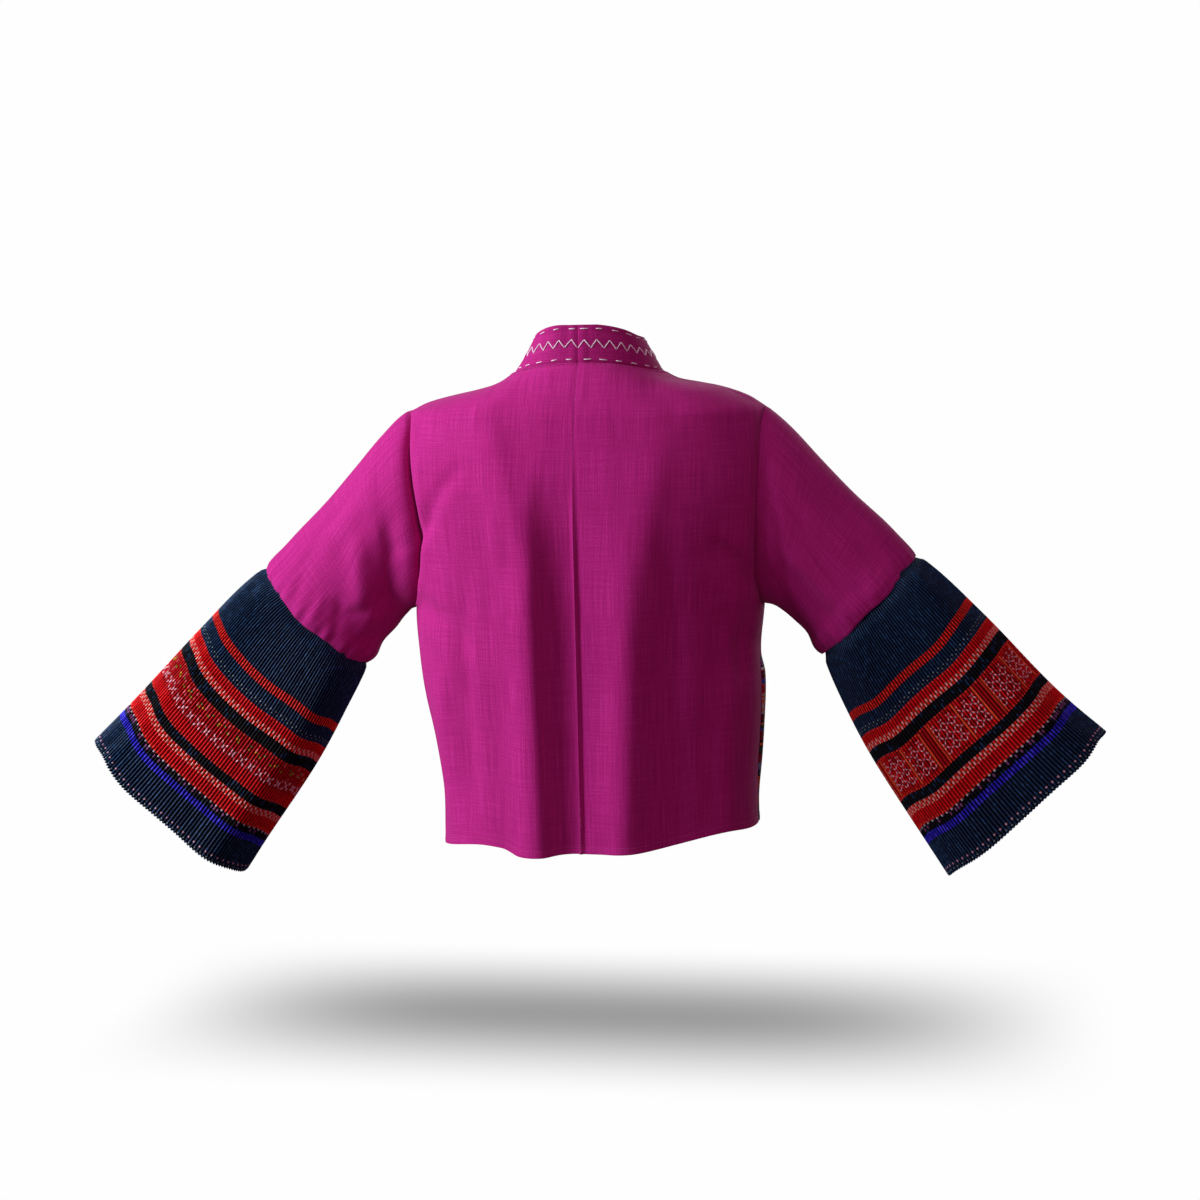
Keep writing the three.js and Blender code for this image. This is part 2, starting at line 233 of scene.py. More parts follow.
# Creases, given one by one. Those of the front are like those of the back, on the side that is less seen.
CREASES = {
    Face.BACK: table(
        Crease,
        (-94, -40, -54, -190, 22, 4.6, 0, 0.2), (-47, -110, -38, -620, 17, 9.0, 0, 0.4),
        (-2, -100, -1, -620, 18, -4.0, 0, 0.15), (84, -80, 44, -620, 23, 8.6, 7, 0.15),
        (96, -150, 100, -500, 34, -2.0, 4), (66, -210, 62, -500, 10, -1.8, -3),
        (-190, -190, -150, -150, 9, -3.4, 4), (-168, -176, -118, -100, 9, -3.0, -5),
        (-186, -236, -112, -292, 11, -3.4, -7), (-166, -262, -120, -330, 12, 2.0, -5),
        (-150, -300, -136, -500, 13, 2.6, 6), (-170, -330, -158, -480, 9, -2.0, 2),
        (-112, -190, -110, -490, 13, -3.2, 8, 0.2), (-84, -120, -80, -330, 9, 1.4, -5),
        (-30, -200, -26, -490, 7, -1.4, 3), (106, -130, 110, -400, 14, 2.8, 0),
        (141, -150, 138, -380, 13, -3.0, 0), (136, -176, 176, -232, 8, -5.0, -6, 0.3),
        (120, -196, 158, -262, 9, 2.4, -5), (140, -250, 172, -296, 8, -2.4, 4),
        (152, -300, 146, -490, 8, 2.0, 3), (165, -258, 160, -330, 6, -3.4, 3),
        (120, -360, 130, -486, 9, -2.4, -3), (-60, -20, -110, -60, 12, 1.2, 3),
        (60, -20, 112, -58, 12, -1.4, -3),
    ),
    Face.FRONT: table(
        Crease,
        (-178, -180, -130, -140, 9, -2.4, 4), (-182, -244, -116, -320, 12, -2.0, -5),
        (-90, -120, -76, -470, 13, -2.0, 6, 0.3), (-140, -300, -126, -490, 14, 1.8, 4),
        (178, -180, 126, -136, 9, -2.4, -4), (172, -250, 112, -330, 12, -2.2, 5),
        (84, -120, 70, -470, 12, 1.6, -6), (132, -300, 120, -480, 13, -1.8, -4),
    ),
}

SLEEVE_SECTIONS = {
    Side.LEFT: table(
        Section,
        (218, -73, 196, -257, 58, 0), (250, -108, 204, -266, 56, 1), (282, -143, 213, -278, 53, 2),
        (319, -179, 229, -294, 50, 3), (352, -213, 248, -317, 47, 4),
    ),
    Side.RIGHT: table(
        Section,
        (206, -71, 186, -253, 58, 0), (237, -105, 197, -260, 56, 1), (269, -139, 208, -271, 53, 2),
        (304, -172, 221, -284, 50, 3), (332, -204, 237, -305, 47, 4),
    ),
}

CUFF_SECTIONS = {
    Side.LEFT: table(
        Section,
        (354, -215, 249, -319, 48, 4), (375, -232, 260, -341, 52, 5), (421, -276, 292, -399, 55, 7),
        (509, -364, 363, -501, 59, 12), (551, -404, 396, -547, 60, 14),
    ),
    Side.RIGHT: table(
        Section,
        (334, -206, 238, -307, 48, 4), (352.5, -222, 247, -330, 52, 5),
        (397, -266, 272, -385, 55, 7), (479, -353, 333, -487, 59, 12),
        (520, -389, 364, -535, 60, 14),
    ),
}

# Creases of the sleeves, in the same terms. X is measured outwards on both sides.
SLEEVE_CREASES = {
    Side.LEFT: table(
        Crease,
        (202, -150, 212, -280, 10, -5.0, 3), (238, -170, 240, -272, 13, 5.5, 3),
        (206, -232, 262, -262, 8, -2.6, 5), (214, -110, 292, -196, 12, 1.6, 6),
        (236, -130, 312, -226, 10, -1.6, -5), (212, -262, 246, -296, 7, -3.0, 3),
        (226, -252, 250, -286, 5, 1.8, 2), (260, -238, 274, -286, 6, -1.8, 2),
        (278, -236, 296, -268, 5, 1.4, 1), (300, -216, 316, -248, 5, -1.2, 1),
    ),
    Side.RIGHT: table(
        Crease,
        (186, -120, 202, -250, 8, -3.5, -6, 0.3), (196, -204, 258, -286, 9, -3.0, -6),
        (212, -190, 272, -262, 9, 2.2, 5), (206, -110, 282, -200, 12, 1.4, 6),
        (232, -130, 300, -212, 11, -1.5, -5), (204, -256, 236, -290, 7, -2.4, 3),
        (250, -246, 264, -280, 6, -1.6, 2), (284, -212, 300, -242, 5, 1.2, 1),
    ),
}


# ---- numbers and curves ----


def mix(start: Any, end: Any, share: Any) -> Any:
    """Goes from start to end by share."""
    return start + (end - start) * share


def smoothstep(value: Any, low: float, high: float) -> Any:
    """Rises smoothly from 0 at low to 1 at high."""
    share = np.clip((value - low) / (high - low), 0.0, 1.0)
    return share * share * (3.0 - 2.0 * share)


def bell(value: Any, half_width: float) -> Any:
    """Gives 1 at zero and falls away smoothly over the half width."""
    return np.exp(-((value / half_width) ** 2))


def running(lengths: Array, axis: int = 0) -> Array:
    """Returns the running total of lengths along an axis, from 0."""
    return np.insert(np.cumsum(lengths, axis=axis), 0, 0.0, axis=axis)


def steps(points: Array, axis: int) -> Array:
    """Returns the distances between neighbouring points along an axis."""
    return np.linalg.norm(np.diff(points, axis=axis), axis=-1)


def curve(places: Array, values: Array, slopes: Array, at: Array) -> Array:
    """Reads a smooth curve.

    Args:
        places: rising places.
        values: the curve's value at each place, which may be a row of points.
        slopes: its slope at each place.
        at: where to read.

    Returns:
        The values there.
    """
    row = np.clip(np.searchsorted(places, at, side="right") - 1, 0, len(places) - 2)
    spread = (...,) + (None,) * (values.ndim - 1)
    span = (places[row + 1] - places[row])[spread]
    share = (at - places[row])[spread] / span
    square, cube = share**2, share**3
    return (
        values[row] * (2 * cube - 3 * square + 1)
        + slopes[row] * span * (cube - 2 * square + share)
        + values[row + 1] * (3 * square - 2 * cube)
        + slopes[row + 1] * span * (cube - square)
    )


def read(rows: Sequence[NamedTuple], key: str, value: Any, name: str) -> Array:
    """Reads one column of a table at any value of its key, on a smooth curve through the rows.

    Args:
        rows: the table.
        key: the column that value is measured in.
        value: where to read.
        name: the column to read.

    Returns:
        The column's value there.
    """
    keys = np.array([getattr(row, key) for row in rows], float)
    values = np.array([getattr(row, name) for row in rows], float)
    if keys[0] > keys[-1]:
        keys, values = keys[::-1], values[::-1]
    slopes = np.empty_like(values)
    slopes[1:-1] = (values[2:] - values[:-2]) / (keys[2:] - keys[:-2])
    slopes[0] = (values[1] - values[0]) / (keys[1] - keys[0])
    slopes[-1] = (values[-1] - values[-2]) / (keys[-1] - keys[-2])
    place = np.clip(np.asarray(value, float), keys[0], keys[-1])
    return curve(keys, values, slopes, place)


def crease_rise(creases: Sequence[Crease], x: Array, z: Array) -> Array:
    """Sums how far a table of creases lifts or sinks the cloth at each place.

    Args:
        creases: the table of creases.
        x: places across.
        z: heights.

    Returns:
        The sum at each place.
    """
    total = np.zeros(np.broadcast(x, z).shape)
    for crease in creases:
        run_x = crease.end_x - crease.start_x
        run_z = crease.end_z - crease.start_z
        length = math.hypot(run_x, run_z)
        along = ((x - crease.start_x) * run_x + (z - crease.start_z) * run_z) / length**2
        aside = ((x - crease.start_x) * run_z - (z - crease.start_z) * run_x) / length
        aside = aside - crease.bow * np.sin(math.pi * np.clip(along, 0, 1))
        width = crease.half_width * (1 + crease.lean * np.sign(aside))
        taper = smoothstep(along, -0.1, 0.3) * (1 - smoothstep(along, 0.7, 1.1))
        total += crease.rise * np.exp(-((aside / width) ** 2)) * taper
    return total


def resample(grid: Array, spacing: float) -> Array:
    """Lays new rows at an even spacing on smooth curves through the rows of a grid.

    Args:
        grid: rows of points in millimetres.
        spacing: the distance between rows.

    Returns:
        The new grid.
    """
    places = running(steps(grid, 0).mean(axis=1))
    count = max(2, round(places[-1] / spacing)) + 1
    at = np.linspace(0, places[-1], count)
    return curve(places, grid, np.gradient(grid, places, axis=0), at)


def grid_normals(grid: Array, middle: Array, is_round: bool = False) -> Array:
    """Finds the outward direction at each point of a grid.

    Args:
        grid: rows of points.
        middle: a point, or one for each row, inside the form.
        is_round: whether the last column joins the first.

    Returns:
        Unit vectors, one for each point.
    """
    along = np.gradient(grid, axis=0)
    if is_round:
        across = np.roll(grid, -1, axis=1) - np.roll(grid, 1, axis=1)
    else:
        across = np.gradient(grid, axis=1)
    normals = np.cross(along, across)
    normals /= np.maximum(np.linalg.norm(normals, axis=2, keepdims=True), 1e-9)
    outward = np.sign(np.sum(normals * (grid - middle)))
    return normals * outward


def cloth_uv(grid: Array, anchor: int, is_round: bool = False) -> Array:
    """Lays a grid flat in metres: U runs across from the anchor column, and V along the rows.

    Args:
        grid: rows of points in millimetres.
        anchor: the column that U is measured from.
        is_round: whether to close the grid with one more column.

    Returns:
        U and V at each point.
    """
    if is_round:
        grid = np.concatenate([grid, grid[:, :1]], axis=1)
    u = running(steps(grid, 1), 1)
    u -= u[:, anchor][:, None]
    v = running(steps(grid, 0).mean(axis=1))
    return np.stack([u, np.broadcast_to(v[:, None], u.shape)], axis=2) * MM


# ---- meshes ----


def put_in_scene(name: str, data: bpy.types.ID) -> Piece:
    """Puts a mesh, lamp or camera in the scene as a new object.

    Args:
        name: its name.
        data: the mesh, lamp or camera.

    Returns:
        The object.
    """
    made = bpy.data.objects.new(name, data)
    bpy.context.scene.collection.objects.link(made)
    return made


def cloth_wall(
    name: str, outer: Array, inner: Array, uv: Array, is_round: bool = False
) -> Piece:
    """Makes one closed wall of cloth between two grids of points.

    Args:
        name: the piece's name.
        outer: the outer face's points, in rows, in millimetres.
        inner: the inner face's points.
        uv: U and V at each point, with one more column where the wall is round.
        is_round: whether the last column joins the first.

    Returns:
        The finished piece.
    """
    rows, columns = outer.shape[:2]
    panels = columns if is_round else columns - 1
    i, j = (part.ravel() for part in np.meshgrid(np.arange(rows - 1), np.arange(panels), indexing="ij"))
    last = np.full(panels, rows - 1)
    first = np.zeros(panels, int)
    step = np.arange(panels)
    # Each set of faces is given by the row, column and grid (0 outer, 1 inner) of its corners.
    sets = [
        ((i, j, 0), (i, j + 1, 0), (i + 1, j + 1, 0), (i + 1, j, 0)),
        ((i, j, 1), (i + 1, j, 1), (i + 1, j + 1, 1), (i, j + 1, 1)),
        ((first, step, 0), (first, step, 1), (first, step + 1, 1), (first, step + 1, 0)),
        ((last, step, 0), (last, step + 1, 0), (last, step + 1, 1), (last, step, 1)),
    ]
    if not is_round:
        row = np.arange(rows - 1)
        start = np.zeros(rows - 1, int)
        end = np.full(rows - 1, columns - 1)
        sets.append(((row, start, 0), (row + 1, start, 0), (row + 1, start, 1), (row, start, 1)))
        sets.append(((row, end, 0), (row, end, 1), (row + 1, end, 1), (row + 1, end, 0)))
    faces = np.concatenate(
        [
            np.stack([(g * rows + r) * columns + c % columns for r, c, g in corners], axis=1)
            for corners in sets
        ]
    )
    corners_uv = np.concatenate(
        [np.stack([r * (panels + 1) + c for r, c, _ in corners], axis=1) for corners in sets]
    )
    points = np.concatenate([outer.reshape(-1, 3), inner.reshape(-1, 3)]) * MM
    a, b, c, d = (points[faces[:, n]] for n in range(4))
    if np.sum(np.cross(a, b) * c) + np.sum(np.cross(a, c) * d) < 0:
        faces, corners_uv = faces[:, ::-1], corners_uv[:, ::-1]
    mesh = bpy.data.meshes.new(name)
    mesh.from_pydata(points.tolist(), [], faces.tolist())
    layer = mesh.uv_layers.new(name=UV_NAME)
    layer.data.foreach_set("uv", uv.reshape(-1, 2)[corners_uv.ravel()].ravel())
    mesh.shade_smooth()
    mesh.set_sharp_from_angle(angle=math.radians(SHARP_DEGREES))
    return put_in_scene(name, mesh)


@dataclass
class Chart:
    """A finished grid of cloth that stitches are laid on, by place along and across."""

    points: Array
    normals: Array

    def lengths(self, column: int) -> Array:
        """Returns the distance along one column, from the first row."""
        return running(steps(self.points[:, column], 0))

    def at(self, row: float, column: float) -> tuple[Array, Array]:
        """Returns the point and the outward direction at fractional row and column numbers.

        Args:
            row: the row number.
            column: the column number.

        Returns:
            The point and its unit normal.
        """
        rows, columns = self.points.shape[:2]
        i = min(max(int(row), 0), rows - 2)
        j = min(max(int(column), 0), columns - 2)
        down, over = row - i, column - j
        weights = ((1 - down) * (1 - over), (1 - down) * over, down * (1 - over), down * over)
        places = ((i, j), (i, j + 1), (i + 1, j), (i + 1, j + 1))
        point = sum(w * self.points[p] for w, p in zip(weights, places))
        normal = sum(w * self.normals[p] for w, p in zip(weights, places))
        return point, normal / np.linalg.norm(normal)


@dataclass
class Needlework:
    """Straight stitches as slim tubes that dip into the cloth at both ends, joined in one mesh."""

    name: str
    radius: float
    sides: int = 6
    points: list[Array] = field(default_factory=list)
    faces: list[list[int]] = field(default_factory=list)

    RISES = ((0.0, -0.9), (0.12, 0.35), (0.5, 0.75), (0.88, 0.35), (1.0, -0.9))

    def stitch(self, start: Array, end: Array, normal: Array) -> None:
        """Adds one stitch from start to end, raised along the normal.

        Args:
            start: where it starts.
            end: where it ends.
            normal: the outward direction.
        """
        run = end - start
        side = np.cross(run, normal)
        side /= max(np.linalg.norm(side), 1e-9)
        base = len(self.points) * self.sides
        turns = [2 * math.pi * n / self.sides for n in range(self.sides)]
        for share, rise in self.RISES:
            centre = start + run * share + normal * rise * self.radius
            ring = [centre + self.radius * (math.cos(t) * side + math.sin(t) * normal) for t in turns]
            self.points.append(np.array(ring))
        for ring in range(len(self.RISES) - 1):
            for n in range(self.sides):
                a = base + ring * self.sides + n
                b = base + ring * self.sides + (n + 1) % self.sides
                self.faces.append([a, b, b + self.sides, a + self.sides])
        end_base = base + (len(self.RISES) - 1) * self.sides
        self.faces.append([base + n for n in reversed(range(self.sides))])
        self.faces.append([end_base + n for n in range(self.sides)])

    def make(self) -> Piece:
        """Returns the joined stitches as one piece, with their faces pointing out.

        Returns:
            The piece.
        """
        mesh = bpy.data.meshes.new(self.name)
        mesh.from_pydata((np.concatenate(self.points) * MM).tolist(), [], self.faces)
        mesh.shade_smooth()
        piece = put_in_scene(self.name, mesh)
        bpy.ops.object.select_all(action="DESELECT")
        piece.select_set(True)
        bpy.context.view_layer.objects.active = piece
        bpy.ops.object.mode_set(mode="EDIT")
        bpy.ops.mesh.select_all(action="SELECT")
        bpy.ops.mesh.normals_make_consistent(inside=False)
        bpy.ops.object.mode_set(mode="OBJECT")
        return piece


# ---- materials ----


def linear(code: str) -> tuple[float, float, float, float]:
    """Turns an sRGB hex colour to linear numbers with an alpha of 1.

    Args:
        code: the colour, with its leading mark.

    Returns:
        Red, green, blue and alpha.
    """
    parts = (int(code[n : n + 2], 16) / 255 for n in (1, 3, 5))
    red, green, blue = (p / 12.92 if p <= 0.04045 else ((p + 0.055) / 1.055) ** 2.4 for p in parts)
    return red, green, blue, 1.0


def add_node(tree: Tree, kind: str, settings: dict[Any, Any] | None = None) -> Node:
    """Adds a node with its settings and links.

    Args:
        tree: where the node goes.
        kind: the node's type, without the words that all of them start with.
        settings: its options and inputs, by name or number. A socket is linked to the input, and
            a node stands for its own first output.

    Returns:
        The node.
    """
    node = tree.nodes.new(f"ShaderNode{kind}")
    for name, value in (settings or {}).items():
        source = value.outputs[0] if isinstance(value, Node) else value
        if isinstance(source, bpy.types.NodeSocket):
            tree.links.new(source, node.inputs[name])
        elif isinstance(name, str) and hasattr(node, name):
            setattr(node, name, source)
        else:
            node.inputs[name].default_value = source
    return node


def fill_ramp(node: Node, stops: Sequence[tuple[float, tuple]], stepped: bool = False) -> None:
    """Sets the stops of a colour ramp.

    Args:
        node: the ramp.
        stops: places from 0 to 1, each with its colour.
        stepped: whether the colours change in hard steps.
    """
    ramp = node.color_ramp
    ramp.interpolation = "CONSTANT" if stepped else "LINEAR"
    while len(ramp.elements) > 1:
        ramp.elements.remove(ramp.elements[-1])
    ramp.elements[0].position, ramp.elements[0].color = stops[0]
    for place, colour in stops[1:]:
        ramp.elements.new(place).color = colour


def new_material(name: str) -> tuple[Finish, Tree]:
    """Makes an empty node material, and returns it with its nodes.

    Args:
        name: its name.

    Returns:
        The material and its node tree.
    """
    material = bpy.data.materials.new(name)
    material.use_nodes = True
    material.node_tree.nodes.clear()
    return material, material.node_tree


def add_cloth_shader(tree: Tree, colour: Any, bump: dict[Any, Any], gloss: dict[str, float]) -> None:
    """Adds the bump, the shader and the output that every cloth and thread ends in.

    Args:
        tree: where the nodes go.
        colour: what feeds the base colour.
        bump: the bump's height, strength and distance.
        gloss: the shader's numbers that are the same all over.
    """
    relief = add_node(tree, "Bump", bump)
    shader = add_node(tree, "BsdfPrincipled", {**gloss, "Base Color": colour, "Normal": relief})
    add_node(tree, "OutputMaterial", {"Surface": shader})


class Streak(NamedTuple):
    """Threads of uneven thickness: their width and length in millimetres, and their strength."""

    across: float
    down: float
    weight: float


@dataclass(frozen=True)
class SlubbyLinen:
    """Hand-woven plain-weave linen, piece-dyed: thick and thin threads show as faint streaks."""

    name: str
    dark: str
    middle: str
    light: str
    streaks: tuple[Streak, ...] = (
        Streak(1.15, 60, 0.52),    # warp threads, seen as upright streaks
        Streak(46, 1.25, 0.30),    # weft threads, seen as level streaks
        Streak(3.2, 120, 0.09),    # bundles of thicker warp threads
        Streak(1.3, 1.3, 0.55),    # the weave, drawn about twice as coarse as it is so that it shows
        Streak(60, 80, 0.08),      # slow changes of the dye
    )
    roughness: float = 0.82
    sheen: float = 0.06
    bump_mm: float = 0.35

    def make(self) -> Finish:
        """Returns the finish as a material.

        Returns:
            The material.
        """
        material, tree = new_material(self.name)
        uv = add_node(tree, "UVMap", {"uv_map": UV_NAME})
        tone = 0.5
        for streak in self.streaks:
            scale = (1 / (streak.across * MM), 1 / (streak.down * MM), 1)
            place = add_node(tree, "Mapping", {"Scale": scale, "Vector": uv})
            thread = {"noise_dimensions": "2D", "Scale": 1.0, "Detail": 1.5, "Roughness": 0.55}
            noise = add_node(tree, "TexNoise", {**thread, "Vector": place})
            centred = add_node(tree, "Math", {"operation": "SUBTRACT", 0: noise, 1: 0.5})
            added = {"operation": "MULTIPLY_ADD", 0: centred, 1: streak.weight, 2: tone}
            tone = add_node(tree, "Math", added)
        ramp = add_node(tree, "ValToRGB", {"Fac": tone})
        shades = zip((0.16, 0.5, 0.84), (self.dark, self.middle, self.light))
        fill_ramp(ramp, [(place, linear(shade)) for place, shade in shades])
        bump = {"Strength": 0.6, "Distance": self.bump_mm * MM, "Height": tone}
        gloss = {
            "Roughness": self.roughness,
            "Sheen Weight": self.sheen,
            "Sheen Roughness": 0.5,
            "Specular IOR Level": 0.12,
        }
        add_cloth_shader(tree, ramp, bump, gloss)
        return material


class Stripe(NamedTuple):
    """One stripe of a banded cloth, from its start to the next one's.

    share is how many of its small cells have the fleck colour, and checked says whether they
    alternate instead of falling at random.
    """

    start: float
    ground: str
    fleck: str
    share: float = 0.0
    checked: bool = False


INDIGO = "#1A3658"
INK = "#0C1018"
RED = "#EA0E18"
DEEP_RED = "#C40A16"
ORANGE = "#FF4430"
PINK = "#FFB0C0"
BLUE = "#2E28D8"
GREY = "#8FA5A0"
PURPLE = "#8A4E86"
PALE_INDIGO = "#244A74"
WORN_RED = "#D80C18"
SCARLET = "#FF3020"
ROSE = "#FFA8A0"
NAVY = "#141430"
BLACK = "#141018"
SOFT_BLACK = "#202030"
CRIMSON = "#B01426"
PALE_CRIMSON = "#D83040"
VIOLET = "#6A2478"
PALE_VIOLET = "#8A3C98"
ROYAL_BLUE = "#2C48B8"
PALE_ROYAL = "#4060D0"
RUST = "#E0662A"
PALE_RUST = "#F08A48"
PINE = "#1A2A20"
PALE_PINE = "#2C5038"
WINE = "#7A1020"
PALE_WINE = "#981C2C"

TOP_STRIPES = table(
    Stripe,
    (0.0, INDIGO, PALE_INDIGO, 0.2), (0.238, "#F01820", "#FF3C2C", 0.5, True),
    (0.270, INDIGO, PALE_INDIGO, 0.2), (0.3175, INDIGO, GREY, 0.5, True),
    (0.3225, INDIGO, PALE_INDIGO, 0.2), (0.331, INDIGO, GREY, 0.5, True),
)

BAND_A_STRIPES = table(
    Stripe,
    (0.336, INDIGO, PALE_INDIGO, 0.2), (0.344, RED, ORANGE, 0.5, True),
    (0.352, RED, WORN_RED, 0.25), (0.385, SCARLET, ROSE, 0.5, True), (0.414, INK, INDIGO, 0.2),
)

BAND_B_STRIPES = table(
    Stripe,
    (0.648, INK, INDIGO, 0.2), (0.689, SCARLET, ROSE, 0.5, True), (0.721, RED, WORN_RED, 0.25),
    (0.766, RED, ORANGE, 0.5, True), (0.779, INK, "#C8C4D0", 0.5, True), (0.786, INK, INDIGO, 0.2),
)

LEFT_WIDE_STRIPES = table(
    Stripe,
    (0.463, "#B01020", ORANGE, 0.5, True), (0.472, DEEP_RED, "#F0606A", 0.10),
    (0.505, DEEP_RED, "#F06C74", 0.06), (0.517, DEEP_RED, "#F0606A", 0.20),
    (0.534, DEEP_RED, "#D81C28", 0.3), (0.592, RED, WORN_RED, 0.3),
    (0.638, "#C01020", ORANGE, 0.5, True),
)

RIGHT_WIDE_STRIPES = table(
    Stripe,
    (0.463, "#D01020", ORANGE, 0.5, True), (0.472, RED, "#B40814", 0.4),
    (0.638, "#D01020", ORANGE, 0.5, True),
)

HEM_STRIPES = table(
    Stripe,
    (0.79, INK, PURPLE, 0.3), (0.801, INK, INDIGO, 0.3), (0.816, BLUE, "#4A44FF", 0.35),
    (0.845, INDIGO, PALE_INDIGO, 0.2), (0.9635, INDIGO, "#D8A8C4", 0.5, True),
    (0.9705, INDIGO, PALE_INDIGO, 0.2), (0.9805, INDIGO, GREY, 0.5, True),
    (0.9875, INDIGO, PALE_INDIGO, 0.2),
)

# The banded textile of the fronts, from its top seam to the hem.
TEXTILE_STRIPES = table(
    Stripe,
    (0.0, CRIMSON, PALE_CRIMSON, 0.3), (0.018, NAVY, INDIGO, 0.3),
    (0.034, VIOLET, PALE_VIOLET, 0.3), (0.068, NAVY, INDIGO, 0.3),
    (0.082, "#E8E4E0", "#C8B8C0", 0.3), (0.096, "#A81426", "#1A1838", 0.3, True),
    (0.152, ROYAL_BLUE, PALE_ROYAL, 0.3), (0.178, CRIMSON, PALE_CRIMSON, 0.25),
    (0.232, "#B8B4B4", "#E06A28", 0.42), (0.356, BLACK, SOFT_BLACK, 0.3),
    (0.366, "#6A0C1C", "#8A1828", 0.3), (0.395, BLACK, SOFT_BLACK, 0.3),
    (0.407, RUST, PALE_RUST, 0.3), (0.420, PINE, PALE_PINE, 0.4),
    (0.444, ROYAL_BLUE, PALE_ROYAL, 0.3), (0.456, WINE, PALE_WINE, 0.3),
    (0.512, BLACK, SOFT_BLACK, 0.3), (0.530, RUST, PALE_RUST, 0.3), (0.545, PINE, PALE_PINE, 0.4),
    (0.590, WINE, PALE_WINE, 0.3), (0.645, "#6C7CA0", "#8C9CBC", 0.4), (0.690, NAVY, INDIGO, 0.3),
    (0.730, "#A81426", "#E06A28", 0.4, True), (0.800, VIOLET, PALE_VIOLET, 0.3),
    (0.840, CRIMSON, PALE_CRIMSON, 0.3), (0.900, BLACK, SOFT_BLACK, 0.3),
)


